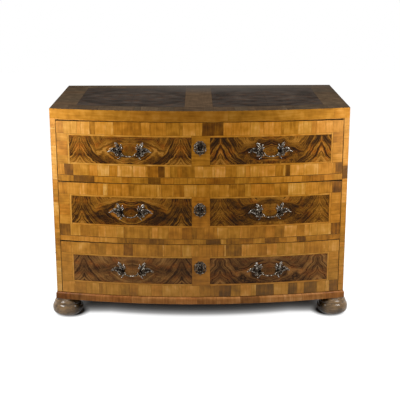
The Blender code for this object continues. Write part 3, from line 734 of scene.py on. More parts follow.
# %% Mark out a face
class Face:
    """One flat side of a piece. An area on it has four numbers: the ends on each of its two axes."""

    def __init__(self, sheet, looks, level):
        self.sheet, self.looks, self.level = sheet, looks, level
        self.axes = [axis for axis in range(3) if not looks[axis]]

    def corners(self, area):
        """The two corners of an area."""
        depth = next(axis for axis in range(3) if self.looks[axis])
        low, high = [area[0], area[2]], [area[1], area[3]]
        low.insert(depth, self.level - 0.001)
        high.insert(depth, self.level + 0.001)
        return low, high

    def saw(self, area, axis, places, lean=0):
        """Cuts the leaves of an area along straight lines. A lean tilts the cut within the face."""
        low, high = self.corners(area)
        for place in places:
            if choose(self.sheet.piece, lambda face: in_field(face, self.looks, low, high)):
                point, normal = plane(axis, place, (Vector(low) + Vector(high)) / 2)
                tilt = self.looks.cross(normal) * lean * chance.uniform(-1, 1)
                bpy.ops.mesh.bisect(plane_co=point, plane_no=normal + tilt, threshold=5 * SAW_REACH)

    def name(self, area, grain, tones, slot, **extra):
        """Gives each leaf of an area a number, and writes its grain, tone and finish."""
        low, high = self.corners(area)
        leaves = self.sheet.leaves
        mesh = bmesh.from_edit_mesh(self.sheet.piece.data)
        numbers = mesh.faces.layers.int.get("leaf") or mesh.faces.layers.int.new("leaf")
        for face in mesh.faces:
            if in_field(face, self.looks, low, high):
                face[numbers], face.material_index = len(leaves) + 1, slot
                middle = face.calc_center_median()
                tone = tones(middle) if callable(tones) else chance.uniform(*tones)
                leaves[len(leaves) + 1] = dict(
                    grain=grain, tone=tone, middle=middle, slide=any_slide(), **extra)
        bmesh.update_edit_mesh(self.sheet.piece.data)


def any_slide():
    """A random shift of the grain, so that no two leaves look alike."""
    return Vector((chance.uniform(0, 4), chance.uniform(0, 4)))


print("a face looks one of six ways, such as", tuple(FRONT))

# %% Unfold the leaves
def flat_place(point, face, leaf):
    """The place of a point on its leaf: across the grain, then along it, in metres."""
    if leaf is None:
        return point.y + point.z, point.x
    if "fold" in leaf:
        return folded(point, face.center, **leaf["fold"])
    if "run" in leaf:
        around = point.z - point.dot(leaf["looks"]) + leaf["slide"].y
        along = point[leaf["run"]] + leaf["slide"].x
        return (around, along) if leaf["long"] else (along, around)
    from_middle = point - leaf["middle"]
    across = face.normal.cross(leaf["grain"])
    return from_middle.dot(across) + leaf["slide"].x, from_middle.dot(leaf["grain"]) + leaf["slide"].y


def folded(point, middle, axis, centre, level, seam, up=2):
    """A book-matched place: mirrored about the centre, and again at the seam near the end."""
    side = 1 if middle[axis] > centre else -1
    out = side * (point[axis] - centre)
    if side * (middle[axis] - centre) > seam:
        out = 2 * seam - out
    return out, point[up] - level


def hand_over(piece, body, node=None):
    """Hands a piece its body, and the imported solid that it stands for."""
    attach(piece, body)
    if node:
        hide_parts(node)
    print(f"{piece.name}: {len(piece.data.polygons)} faces, rides on {body}")


print("veneer helpers are ready")

# %% [markdown]
# ## The drawer fronts
# Each front is a pine board with a face of veneer: a golden crossbanded border, a thin pale line
# of stringing, two dark book-matched panels, and a quiet strip in the middle for the keyhole.
# We saw this pattern into the front face of one block. The joints of the border are listed
# in millimetres from the middle of the commode, because the maker's leaves were not all alike:
# some are broad, some are thin patches, and a few are much darker than their neighbours.

# %% The cutting lists of the three fronts
FRONT_FINISHES = (pine_across, honey_walnut, root_walnut, plum_walnut, painted_gap_shade, painted_hole_shade)
BARE, BANDED, ROOT_PANEL, PLUM_PANEL, GAP_SHADE_SLOT, HOLE_SHADE_SLOT = range(len(FRONT_FINISHES))
DRAWERS = {
    "upper": dict(
        panel=(0.643, 0.7490), rings=0.809, sheet=0.0, shade=(0.57, 0.60), panels=ROOT_PANEL,
        over=(-527, -467, -450, -421, -399, -354, -331, -258, -225, -192, -183, -130, -73, -64, -20, 12,
              59, 88, 124, 153, 192, 224, 245, 284, 305, 322, 376, 392, 426, 445, 480, 509),
        under=(-511, -490, -463, -425, -390, -360, -331, -302, -267, -252, -220, -186, -154, -140, -108,
               -81, -63, -11, 15, 53, 103, 143, 163, 205, 238, 276, 311, 324, 345, 399, 457, 507, 522),
        dark_over=(35, 73), dark_under=(-501, -147, 334, 537), lift=(0.08, 0.09),
        painted_middle_shade=(0.10, 0.10), shrunk=(0.0030, 0.0034),
    ),
    "middle": dict(
        panel=(0.400, 0.510), rings=0.5636, sheet=1.7, shade=(0.53, 0.56), panels=ROOT_PANEL,
        over=(-511, -465, -433, -400, -369, -346, -304, -264, -244, -173, -165, -146, -100, -65, -29, -8,
              38, 79, 111, 146, 173, 185, 244, 277, 300, 315, 338, 411, 449, 505),
        under=(-511, -471, -434, -429, -400, -369, -323, -304, -294, -198, -192, -155, -119, -77, -31, -8,
               15, 46, 69, 104, 146, 154, 204, 246, 285, 321, 371, 409, 430, 466, 516),
        dark_over=(528,), dark_under=(-531, 534), lift=(0.04, 0.03),
        painted_middle_shade=(0.10, 0.10), shrunk=(0.0030, 0.0034),
    ),
    "lower": dict(
        panel=(0.161, 0.2685), rings=0.3241, sheet=3.4, shade=(0.59, 0.62), panels=PLUM_PANEL,
        over=(-519, -440, -419, -388, -368, -331, -286, -265, -192, -158, -142, -85, -73, -50, -29, 0,
              38, 65, 87, 105, 164, 190, 221, 252, 295, 333, 366, 418, 428, 471, 499, 518),
        under=(-504, -455, -402, -385, -369, -313, -298, -281, -246, -192, -150, -85, -71, -54, 0, 38,
               73, 119, 158, 204, 219, 292, 347, 383, 411, 466, 500, 518),
        dark_over=(-275, 134, 535), dark_under=(96, 255, 365, 438, 535), lift=(-0.06, 0.04),
        painted_middle_shade=(-0.10, 0.10), shrunk=(0.0036, 0.0012),
    ),
}
PLATE_BELOW_KEYHOLE = 0.005
STRINGING, SEAM = 0.0065, 0.194
FIRST, LAST = -0.5015, 0.5050
PANEL_ENDS = ((FIRST, -0.0320), (0.0385, LAST))
END_LINES = ((FIRST - STRINGING, FIRST), (LAST, LAST + STRINGING))
MIDDLE_STRIP = (PANEL_ENDS[0][1], PANEL_ENDS[1][0])
FRONT_THICK, VENEER = 0.024, 0.0012
for name, plan in DRAWERS.items():
    low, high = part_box(f"keyhole_plate_{name}")
    plan["keyhole"] = (low.z + high.z) / 2 + PLATE_BELOW_KEYHOLE
    plan["rows"] = (plan["panel"][0] - STRINGING, plan["panel"][1] + STRINGING)
print("joints to saw:", sum(len(plan["over"]) + len(plan["under"]) for plan in DRAWERS.values()))

# %% Saw and lay one drawer front
def in_metres(places):
    """Millimetres to metres."""
    return [place / 1000 for place in places]


def some_dark(usual, dark_places=(), dark=(0.22, 0.32), painted_middle_shade=0.10):
    """Tones for a row of leaves, with painted shade: the middle is darker by some amount, for the light that
    falls off between the soft boxes at the ends.
    """
    def tone(middle):
        named = any(abs(middle.x * 1000 - place) < 9 for place in dark_places)
        fade = painted_middle_shade * (1 - min(abs(middle.x) / 0.5, 1) ** 1.5)
        return chance.uniform(*(dark if named else usual)) - fade
    return tone


def front_block(name, low, high, shade_the_ends=True):
    """A flat front: softened edges, veneer before pine, and edges painted dark as the shade in the gaps
    between the parts.
    """
    piece = block(name, low, high, *FRONT_FINISHES)
    soften(piece, lambda point: abs(point.y - FLAT) < CLOSE, 0.0007)
    slice_all(1, FLAT + VENEER)

    def slot_of(face):
        if face.calc_center_median().y < FLAT + VENEER:
            return BANDED
        edge = abs(face.normal.z) > 0.9 or (shade_the_ends and abs(face.normal.x) > 0.9)
        return GAP_SHADE_SLOT if edge else BARE

    paint(piece, slot_of)
    return Sheet(piece)


def saw_front(front, plan, half):
    """Saws the border, the stringing, the panels and the middle strip."""
    rows = plan["rows"]
    front.saw((-1, 1, 0, 1), 2, rows)
    front.saw((-1, 1, rows[1], 1), 0, in_metres(plan["over"]), lean=0.05)
    front.saw((-1, 1, 0, rows[0]), 0, in_metres(plan["under"]), lean=0.05)
    front.saw((-1, 1, *rows), 0, (END_LINES[0][0], *MIDDLE_STRIP, END_LINES[1][1]))
    for ends in ((-half, END_LINES[0][0]), (END_LINES[1][1], half)):
        joints = [rows[0] + step + chance.uniform(-0.008, 0.008) for step in (0.036, 0.082)]
        front.saw((*ends, *rows), 2, joints, lean=0.03)
    for (left, right), line in zip(PANEL_ENDS, END_LINES):
        front.saw((min(left, *line), max(right, *line), *rows), 0, [left if left < 0 else right])
        front.saw((left, right, *rows), 2, plan["panel"])
        centre = (left + right) / 2
        front.saw((left, right, *plan["panel"]), 0, (centre - SEAM, centre, centre + SEAM))


print("each panel is sawn at its middle and", SEAM, "m to either side")

# %% Name the leaves of one drawer front
def name_front(front, plan):
    """Writes the cutting list of one front."""
    rows = plan["rows"]
    for row, ends, lift, painted_middle_shade in zip(
            ("over", "under"), ((rows[1], 1), (0, rows[0])), plan["lift"], plan["painted_middle_shade"]):
        tones = some_dark((0.47 + lift, 0.85 + lift), plan[f"dark_{row}"], painted_middle_shade=painted_middle_shade)
        front.name((-1, 1, *ends), UP, tones, BANDED)
    for ends in ((-1, END_LINES[0][0]), (END_LINES[1][1], 1)):
        front.name((*ends, *rows), RIGHT, (0.52, 0.70), BANDED)
    front.name((*MIDDLE_STRIP, *rows), RIGHT, (0.50, 0.54), BANDED)
    for number, (ends, line) in enumerate(zip(PANEL_ENDS, END_LINES)):
        front.name((*line, *rows), UP, (0.74, 0.80), BANDED)
        for edges in zip(rows, plan["panel"]):
            front.name((*ends, min(edges), max(edges)), RIGHT, (0.70, 0.78), BANDED)
        fold = dict(axis=0, centre=sum(ends) / 2, level=plan["rings"], seam=SEAM)
        front.name((*ends, *plan["panel"]), UP, some_dark(plan["shade"]), plan["panels"],
                   fold=fold, sheet=plan["sheet"] + 0.8 * number)


print("the middle strip is", round(MIDDLE_STRIP[1] - MIDDLE_STRIP[0], 4), "m wide")

# %% Sink an opening
def holds(face, looks, point, axes):
    """Whether a face looks that way and has the point within its width and height."""
    if face.normal.dot(looks) < 0.9:
        return False
    ranges = [[vertex.co[axis] for vertex in face.verts] for axis in axes]
    return all(min(spread) <= point[axis] <= max(spread) for axis, spread in zip(axes, ranges))


def sink(piece, looks, low, high, depth):
    """Cuts a small opening in a face, pushes its floor inwards and paints its inside black as shade."""
    axes = [axis for axis in range(3) if not looks[axis]]
    middle = (Vector(low) + Vector(high)) / 2
    for axis in axes:
        for place in (low[axis], high[axis]):
            choose(piece, lambda face: holds(face, looks, middle, axes))
            point, normal = plane(axis, place, middle)
            bpy.ops.mesh.bisect(plane_co=point, plane_no=normal, threshold=SAW_REACH)
    choose(piece, lambda face: in_field(face, looks, low, high))
    bpy.ops.mesh.extrude_region_move(TRANSFORM_OT_translate={"value": tuple(-looks * depth)})
    bpy.ops.mesh.select_more()

    def slot_of(face):
        inward = (face.calc_center_median() - middle).dot(-looks)
        return HOLE_SHADE_SLOT if face.select and inward > 0.3 * depth else face.material_index

    paint(piece, slot_of)


print("drawer front tools are ready")

# %% Make the three drawer fronts
KEYHOLE_HALF, KEYHOLE_DOWN, KEYHOLE_UP = 0.0032, 0.0134, 0.0032


def worn_front(high, ends):
    """Presses a front to the bow. Its upper edge has shrunk and worn, most at its two ends."""
    def where(x, y, z):
        if z > high.z - 0.003:
            z -= ends[0 if x < 0 else 1] * (abs(x) / high.x) ** 3
        return pressed(x, y, z)
    return where


for name, plan in DRAWERS.items():
    low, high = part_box(f"drawer_{name}_front")
    sheet = front_block(f"{name}_drawer_front", (low.x, FLAT, low.z), (high.x, FLAT + FRONT_THICK, high.z))
    front = Face(sheet, FRONT, FLAT)
    saw_front(front, plan, high.x)
    name_front(front, plan)
    sheet.glue_lines()
    hole = (-KEYHOLE_HALF, KEYHOLE_HALF, plan["keyhole"] - KEYHOLE_DOWN, plan["keyhole"] + KEYHOLE_UP)
    sink(sheet.piece, FRONT, *front.corners(hole), 0.020)
    cut_staves(high.x)
    sheet.glue_up(worn_front(high, plan["shrunk"]), f"drawer_{name}", f"drawer_{name}_front")

# %% [markdown]
# ## The rails
# Between the drawers the case shows only its rails, faced with short leaves whose grain stands
# upright. A rail is a board with a bowed front and a straight back. It is sawn like a drawer
# front, but only its front points are pressed to the bow. Under each rail
# there is a slot for the bolt of the lock below it.

# %% Make the rails
RAIL_BACK = -0.198772
RAILS = {
    "divider_rail_upper": dict(
        joints=(-484, -405, -338, -302, -265, -200, -154, -102, -50, -17, 30, 80, 134, 188, 240, 274,
                349, 390, 432, 476, 520),
        dark=(-444, -177), lock="middle",
    ),
    "divider_rail_lower": dict(
        joints=(-446, -398, -330, -262, -200, -150, -110, -35, 20, 70, 108, 160, 205, 243, 302, 330,
                371, 414, 460, 505),
        dark=(-175, 45, 272, 392), lock="lower",
    ),
    "top_rail": dict(joints=(-392, -178, 61, 297, 471), dark=(), lock="upper"),
}
WHOLE = (-1, 1, 0, 1)
BOLT_ROOM = Vector((0.0015, 0.0015, 0.001))


def front_pressed(x, y, z):
    """Presses only the face of a board to the bow and leaves its back straight."""
    return pressed(x, y, z) if y < FLAT + 0.004 else (x, y, z)


for name, plan in RAILS.items():
    low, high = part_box(name)
    sheet = front_block(f"{name}_veneered", (low.x, FLAT, low.z), (high.x, RAIL_BACK, high.z))
    front = Face(sheet, FRONT, FLAT)
    front.saw(WHOLE, 0, in_metres(plan["joints"]), lean=0.06)
    front.name(WHOLE, UP, some_dark((0.44, 0.80), plan["dark"], (0.20, 0.30)), BANDED)
    sheet.glue_lines()
    bolt_low, bolt_high = (Vector((*point[:2], low.z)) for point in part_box(f"lock_bolt_{plan['lock']}"))
    sink(sheet.piece, DOWN, bolt_low - BOLT_ROOM, bolt_high + BOLT_ROOM, 0.0085)
    cut_staves(high.x)
    sheet.glue_up(front_pressed, "carcase", name)

# %% [markdown]
# ## The sides
# A side is one pine board. Its narrow front edge shows beside the drawers: the maker covered it
# with short blocks of veneer laid crosswise, and it is bowed as the drawers are. The broad outer
# face repeats the pattern of the drawers in large: a crossbanded frame, a pale line,
# and a panel of two book-matched leaves, whose arcs sweep down from an eye near the top. We make
# the left side, sawing both faces, and then the right one by the same steps, with fresh leaves.

# %% Set out and saw the outer face
SIDE_FRAME, SIDE_LINE = 0.055, 0.006
PATCHES = {"left": (), "right": ((0.572, 0.620), (0.503, 0.545))}
SIDES = (("left", -1, LEFT), ("right", 1, RIGHT))


def inset_area(area, step):
    """An area that is smaller by one step all round."""
    return area[0] + step, area[1] - step, area[2] + step, area[3] - step


def frame_areas(inner, lowest):
    """The rows below and above an area, and the columns at its two ends."""
    rows = (-1, 1, lowest, inner[2]), (-1, 1, inner[3], 1)
    return rows, ((-1, inner[0], *inner[2:]), (inner[1], 1, *inner[2:]))


def uneven(start, end, usual):
    """Joints at uneven steps between two ends."""
    places = []
    place = start + usual * chance.uniform(0.5, 1.3)
    while place < end - 0.4 * usual:
        places.append(place)
        place += usual * chance.choice((0.4, 0.7, 1.0, 1.2, 1.6))
    return places


def saw_frame(face, areas, ends, columns, usual):
    """Saws the frame round an area into leaves of uneven width."""
    for axis, parts, reach, step in zip(face.axes, areas, (ends, columns), usual):
        for part in parts:
            face.saw(part, axis, uneven(*reach, step), lean=0.05)


def saw_side(outer, inner, panel, y_ends):
    """Saws the frame, the pale line and the book-matched panel of a side."""
    outer.saw(WHOLE, 2, inner[2:])
    outer.saw((-1, 1, *inner[2:]), 1, inner[:2])
    outer.saw(inner, 2, panel[2:])
    outer.saw((*inner[:2], *panel[2:]), 1, panel[:2])
    outer.saw(panel, 1, [(panel[0] + panel[1]) / 2])
    saw_frame(outer, frame_areas(inner, 0), y_ends, inner[2:], (0.045, 0.048))


print("the frame of a side is", SIDE_FRAME, "m wide")

# %% Make the two sides
def name_side(outer, inner, panel, number):
    """Writes the cutting list of a side's outer face."""
    rows, columns = frame_areas(inner, 0)
    for row in rows:
        outer.name(row, UP, some_dark((0.42, 0.78)), BANDED)
    for column in columns:
        outer.name(column, BACK, some_dark((0.44, 0.78)), BANDED)
    for line in ((inner[2], panel[2]), (panel[3], inner[3])):
        outer.name((*inner[:2], *line), BACK, (0.70, 0.78), BANDED)
    for line in ((inner[0], panel[0]), (panel[1], inner[1])):
        outer.name((*line, *panel[2:]), UP, (0.70, 0.78), BANDED)
    fold = dict(axis=1, centre=(panel[0] + panel[1]) / 2, level=panel[3] + 0.055, seam=1)
    outer.name(panel, UP, (0.58, 0.62), ROOT_PANEL, fold=fold, sheet=number)


def stile_tones(dark_rows):
    """Tones for the leaves of a stile: those between some heights are dark patches."""
    def tone(middle):
        dark = any(low < middle.z < high for low, high in dark_rows)
        return chance.uniform(*((0.14, 0.26) if dark else (0.50, 0.88)))
    return tone


for name, side, looks in SIDES:
    low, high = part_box(f"side_panel_{name}")
    sheet = front_block(f"{name}_side", (low.x, FLAT, low.z), high, shade_the_ends=False)
    front, outer = Face(sheet, FRONT, FLAT), Face(sheet, looks, side * HALF_WIDTH)
    inner = inset_area((CORNER, high.y, low.z, high.z), SIDE_FRAME)
    panel = inset_area(inner, SIDE_LINE)
    front.saw(WHOLE, 2, uneven(low.z, high.z, 0.042), lean=0.04)
    saw_side(outer, inner, panel, (CORNER, high.y))
    front.name(WHOLE, RIGHT, stile_tones(PATCHES[name]), BANDED)
    name_side(outer, inner, panel, 5.2 + side)
    sheet.glue_lines()
    sheet.glue_up(front_pressed, "carcase", f"side_panel_{name}")

# %% [markdown]
# ## The top
# The top has stood in the light for centuries: its varnish has gone dull and its veneer has faded
# to a grey brown. It still shows the old pattern, with two darker panels, a strip between them and
# a frame all round. The board is laid out flat with a straight front; pressing moves the front edge
# out to the bow and lets the shift fade away towards the straight back.

# %% Mix the faded finishes of the top
FADED = [
    (0.00, (0.031, 0.023, 0.016)), (0.35, (0.071, 0.054, 0.037)), (0.60, (0.111, 0.081, 0.052)),
    (0.80, (0.155, 0.111, 0.069)), (1.00, (0.210, 0.149, 0.090)),
]
FADED_DARK = [
    (0.00, (0.021, 0.017, 0.014)), (0.40, (0.046, 0.037, 0.031)), (0.70, (0.071, 0.055, 0.045)),
    (1.00, (0.110, 0.085, 0.066)),
]


def with_painted_reflection(wood):
    """Paints a pale reflection towards the back of the top, as of the bright backdrop seen at a grazing
    angle.
    """
    where = wood.place()
    across, depth, _ = wood.split(where)
    depth = wood.blend(depth, (wood.noise(where, (5, 7, 1)), 0.16))
    beside = wood.math("ABSOLUTE", wood.math("SUBTRACT", across, 0.12))
    near = wood.ranged(beside, (0.15, 0.62), (1, 0))
    share = wood.math("MULTIPLY", wood.ranged(depth, (0.16, 0.36), (0, 0.7)), near)
    return wood.tinted(share, (0.120, 0.110, 0.099))


faded_border = with_painted_reflection(veneer_finish("faded_border", FADED, streaks=0.4, shine=0.7, level=0.0))
faded_panel = with_painted_reflection(figured_finish("faded_panel", FADED_DARK, shine=0.7, level=0.0, strong=0.20))
print("top finishes:", faded_border.owner.name, faded_panel.owner.name)

# %% Lay and press the top
TOP_VENEER = 0.002
TOP_BACK = FLAT + 0.582
TOP_ROWS = (FLAT + 0.090, FLAT + 0.500)
TOP_PANELS = ((-0.480, -0.058), (0.050, 0.480))
TOP_INNER = (-0.480, 0.480, *TOP_ROWS)


def pressed_top(x, y, z):
    """The front of the top follows the bow; from the panels backwards the shift fades away."""
    fade = min(max((TOP_ROWS[1] - y) / (TOP_ROWS[1] - TOP_ROWS[0]), 0), 1)
    return x, y - FLAT + CORNER + (bow(x) - CORNER) * fade, z


low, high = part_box("top_board")
sheet = Sheet(block("faded_top", (low.x, FLAT, low.z), (high.x, TOP_BACK, high.z),
                    pine_across, faded_border, faded_panel))
soften(sheet.piece, lambda point: abs(point.z - high.z) < CLOSE, 0.0009)
slice_all(2, high.z - TOP_VENEER)
paint(sheet.piece, lambda face: 1 if face.calc_center_median().z > high.z - TOP_VENEER else 0)
top = Face(sheet, UP, high.z)
top.saw((-1, 1, -1, 1), 1, TOP_ROWS)
top.saw((-1, 1, *TOP_ROWS), 0, (*TOP_PANELS[0], *TOP_PANELS[1]))
for ends in TOP_PANELS:
    top.saw((*ends, *TOP_ROWS), 0, [sum(ends) / 2])
rows, columns = frame_areas(TOP_INNER, -1)
saw_frame(top, (rows, columns), (-HALF_WIDTH, HALF_WIDTH), TOP_ROWS, (0.075, 0.075))
for row in rows:
    top.name(row, BACK, (0.44, 0.62), 1)
for column in columns:
    top.name(column, RIGHT, (0.48, 0.62), 1)
top.name((TOP_PANELS[0][1], TOP_PANELS[1][0], *TOP_ROWS), BACK, (0.60, 0.62), 1)
for number, ends in enumerate(TOP_PANELS):
    fold = dict(axis=0, centre=sum(ends) / 2, level=FLAT + 0.30, seam=1, up=1)
    top.name((*ends, *TOP_ROWS), BACK, (0.55, 0.60), 2, fold=fold, sheet=7.0 + number)
sheet.glue_lines(0.0004)
cut_staves()
sheet.glue_up(pressed_top, "carcase", "top_board")

# %% [markdown]
# ## The band under the top
# One broad band of honey walnut covers the edge of the top and the rail below it, with its grain
# running along. It stands half a millimetre proud, and a narrower, paler line is let in
# along its lower edge. Each is a thin flat block with its long edges rounded, cut into staves
# and pressed to the bow like the drawer fronts.

# %% Mix its finish and press it on
band_walnut = veneer_finish("band_walnut", HONEY, streaks=0.6)
# Painted shade: the band is mixed towards black by up to a third in the middle of the front, for the light
# that falls off between the soft boxes.
band_walnut.tinted(band_walnut.ranged(band_walnut.aside(), (0.1, 0.5), (0.34, 0)), (0, 0, 0))
STRIPS = {
    "top_banding": (-HALF_WIDTH, 0.8120, 0.8494, 0.0006, (-0.262, 0.105, 0.512), (0.62, 0.68)),
    "pale_line_under_top": (-0.5527, 0.8098, 0.8118, 0.0004, (-0.20, 0.24), (0.72, 0.78)),
}
for name, (left, under, over, proud, joints, tones) in STRIPS.items():
    piece = block(name, (left, FLAT - proud, under), (HALF_WIDTH, FLAT + 0.0006, over), band_walnut)
    soften(piece, lambda point: point.y < FLAT, 0.4 * proud)
    sheet = Sheet(piece)
    sheet.strip(FRONT, 0, joints, tones, lengthways=True, width=0.0004)
    cut_staves()
    sheet.glue_up(pressed, "carcase")

# %% [markdown]
# ## The plinth
# A low moulding runs round the foot of the case on three sides, mitred at the front corners.
# Its upper edge is rounded, and it is veneered with broad upright leaves that roll over the edge.
# A block gets its rounding from the bevel tool, which is how a moulding plane would take it off.
# The front is pressed to the bow, and its ends are drawn in by their depth, which makes the mitre.

# %% Mix the redder finish of the plinth
RUSSET = [
    (0.00, (0.060, 0.022, 0.007)), (0.30, (0.150, 0.055, 0.013)), (0.50, (0.270, 0.108, 0.026)),
    (0.70, (0.400, 0.170, 0.044)), (0.88, (0.520, 0.245, 0.075)), (1.00, (0.620, 0.340, 0.130)),
]
russet_walnut = veneer_finish("russet_walnut", RUSSET, shine=0.32, level=0.10)
PLINTH_PROUD, PLINTH_DEEP, MITRE_GAP = 0.0045, 0.0135, 0.0003
PLINTH_JOINTS = (-512, -441, -361, -270, -189, -96, -12, 64, 158, 233, 331, 402, 493)


def rolled_block(name, low, high, is_outer):
    """A plinth moulding: a block whose outer upper edge is rounded over."""
    piece = block(name, low, high, russet_walnut)
    soften(piece, lambda point: point.z > high[2] - CLOSE and is_outer(point), 0.0100, 6)
    soften(piece, lambda point: abs(point.z - low[2]) < CLOSE, 0.0006, 1)
    return Sheet(piece)


def pressed_plinth(x, y, z):
    """Draws the ends in by their depth, which makes the mitre, and presses the strip to the bow."""
    return pressed(x * (HALF_WIDTH - (y - FLAT) - MITRE_GAP) / HALF_WIDTH, y, z)


def pressed_return(x, y, z):
    """Cuts the front end of a side moulding to the mitre."""
    return (x, bow(abs(x), HALF_WIDTH - abs(x)) + MITRE_GAP, z) if y < CORNER + CLOSE else (x, y, z)


low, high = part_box("plinth_front")
sheet = rolled_block("front_plinth_veneered", (-HALF_WIDTH, FLAT - PLINTH_PROUD, low.z),
                     (HALF_WIDTH, FLAT + PLINTH_DEEP, high.z), lambda point: point.y < FLAT)
sheet.strip(FRONT, 0, in_metres(PLINTH_JOINTS), (0.40, 0.82))
cut_staves()
sheet.glue_up(pressed_plinth, "carcase", "plinth_front", 35)
for name, side, looks in SIDES:
    low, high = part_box(f"plinth_{name}")
    sheet = rolled_block(f"{name}_plinth_veneered", (low.x, CORNER, low.z), high,
                         lambda point: side * point.x > HALF_WIDTH)
    sheet.strip(looks, 1, uneven(CORNER, high.y, 0.08), (0.40, 0.78))
    sheet.glue_up(pressed_return, "carcase", f"plinth_{name}", 35)

# %% [markdown]
# ## The bun feet
# Four feet are turned on a lathe from walnut or stained pear: a squashed ball with a small base,
# a cut line below its widest ring and a short collar on top. On a lathe one profile is held
# against the spinning wood. Here a circle is added and filled, then extruded and resized ring by
# ring, each ring a step of that profile. The first foot is finished, then copied for the others.

# %% Mix the foot finish
def turned_finish(name):
    """Dark polished wood on a turned piece, with painted shade: the side of each foot towards the middle of
    the commode is painted nearly black and loses its shine.
    """
    wood = new_finish(name)
    where = wood.place()
    rings = wood.noise(where, (22, 90, 60), 2, 0.6)
    fibre = wood.noise(where, (140, 900, 700))
    scuffs = wood.noise(where, (60,) * 3, 3, 0.7)
    shade = wood.blend(-0.50, (rings, 0.9), (fibre, 0.25), (wood.noise(where, (26,) * 3), 0.9))
    colour = wood.ramp(shade, [
        (0.00, (0.040, 0.023, 0.011)), (0.35, (0.120, 0.070, 0.029)), (0.60, (0.240, 0.142, 0.060)),
        (0.85, (0.390, 0.240, 0.108)), (1.00, (0.520, 0.340, 0.165)),
    ])
    # Painted shade: the inner side of each foot is mixed most of the way to black, with less specular.
    clear_of_painted_shade = wood.ranged(wood.aside(), (0.482, 0.524), (0.25, 1.0))
    wood.join(wood.math("MULTIPLY", clear_of_painted_shade, 0.38), wood.sockets["Specular IOR Level"])
    colour = wood.mixed(clear_of_painted_shade, (0.006, 0.004, 0.002, 1), colour)
    rough, height = wood.blend(0.06, (scuffs, 0.14)), wood.blend(fibre, (scuffs, 0.5))
    return wood.surface(colour, rough, height, 0.0004, 0.2)


turned_walnut = turned_finish("turned_walnut")
print("foot finish:", turned_walnut.owner.name)

# %% Turn one foot and copy it
MM = 0.001
FOOT_RINGS = (
    (20.5, 0.0), (30.0, 1.2), (40.0, 4.2), (48.0, 8.5), (54.5, 14.0), (58.5, 19.5), (60.3, 24.0),
    (60.5, 26.2), (60.1, 27.0), (60.7, 27.9), (61.4, 31.0), (61.5, 34.5), (60.9, 40.0), (59.2, 45.5),
    (57.0, 50.0), (54.9, 53.0), (53.4, 54.2), (53.0, 55.2), (53.3, 56.2), (53.7, 57.2), (53.6, 58.3),
    (52.3, 61.8), (50.0, 65.8), (47.0, 69.2), (44.0, 71.4), (41.9, 72.5), (41.3, 73.7), (41.3, 77.3),
)


def all_outwards():
    """Turns every face of the open piece outwards."""
    bpy.ops.mesh.select_all(action="SELECT")
    bpy.ops.mesh.normals_make_consistent(inside=False)


def lathe(rings, centre=(0, 0), vertices=28):
    """Turns a bar from rings of radius and height in millimetres, closed at both its ends."""
    radius, height = rings[0][0] * MM, rings[0][1] * MM
    piece = added(bpy.ops.mesh.primitive_circle_add, vertices=vertices, radius=radius, fill_type="NGON",
                  location=(*centre, height))
    work_on(piece)
    bpy.ops.mesh.select_all(action="SELECT")
    for ring in rings[1:]:
        next_radius, next_height = ring[0] * MM, ring[1] * MM
        bpy.ops.mesh.extrude_region_move(TRANSFORM_OT_translate={"value": (0, 0, next_height - height)})
        share = next_radius / radius
        bpy.ops.transform.resize(value=(share, share, 1), center_override=(*centre, 0))
        radius, height = next_radius, next_height
    all_outwards()
    put_down()
    return piece


def copied(name, model):
    """A new piece made from a copy of a finished mesh."""
    piece = bpy.data.objects.new(name, model.copy())
    bpy.context.collection.objects.link(piece)
    return piece


def foot_centre(place):
    """The middle of a packed foot, seen from above."""
    low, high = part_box(f"foot_{place}")
    return ((low + high) / 2).xy


first_centre = foot_centre("front_left")
first_foot = lathe(FOOT_RINGS, tuple(first_centre), 72)
first_foot.name = first_foot.data.name = "front_left_foot"
smooth(first_foot, 40)
coat(first_foot, turned_walnut)
for place in ("front_left", "front_right", "back_left", "back_right"):
    shift = foot_centre(place) - first_centre
    foot = first_foot if place == "front_left" else copied(f"{place}_foot", first_foot.data)
    if foot != first_foot:
        press(foot, lambda x, y, z: (x + shift.x, y + shift.y, z))
    hand_over(foot, "carcase", f"foot_{place}")

# %% [markdown]
# ## Dark bronze
# The handles and keyhole plates are cast bronze that was once gilt. Three centuries have left it
# dark in the hollows and brighter where hands and polishing cloths rub: on ridges and beads. The
# finish paints this far beyond that wear and patina: hollows nearly black as painted dark reflections,
# ridges nearly white as painted highlights. We measure ridges on the mesh. A point that stands out from
# its neighbours is a ridge, and the number is kept as an attribute that the finish reads.

# %% Mix the bronze finish
def bronze_finish(name):
    """Dark patinated bronze, brighter and smoother on ridges, with painted highlights there and painted dark
    reflections in the hollows.
    """
    bronze = new_finish(name)
    where, wear_and_glint = bronze.place(), bronze.number("wear_and_glint")
    patches = bronze.noise(where, (150,) * 3, 2, 0.6)
    shade = bronze.blend(bronze.math("SUBTRACT", wear_and_glint, 0.40), (patches, 0.7))
    # Painted light: near-white ridges and near-black hollows stand for highlights and dark reflections, on
    # top of real wear and patina.
    colour = bronze.ramp(shade, [
        (0.00, (0.002, 0.001, 0.001)), (0.28, (0.008, 0.005, 0.003)), (0.42, (0.030, 0.021, 0.014)),
        (0.55, (0.140, 0.106, 0.074)), (0.66, (0.480, 0.425, 0.345)), (0.82, (0.920, 0.885, 0.830)),
    ])
    rough = bronze.blend(0.30, (patches, 0.20), (wear_and_glint, -0.22))
    height = bronze.math("ADD", bronze.noise(where, (900,) * 3), patches)
    return bronze.surface(colour, rough, height, 0.0003, 0.35, Metallic=1.0,
                          Specular_Tint=(0.3, 0.3, 0.3, 1))


dark_bronze = bronze_finish("dark_bronze")
print("metal finish:", dark_bronze.owner.name)

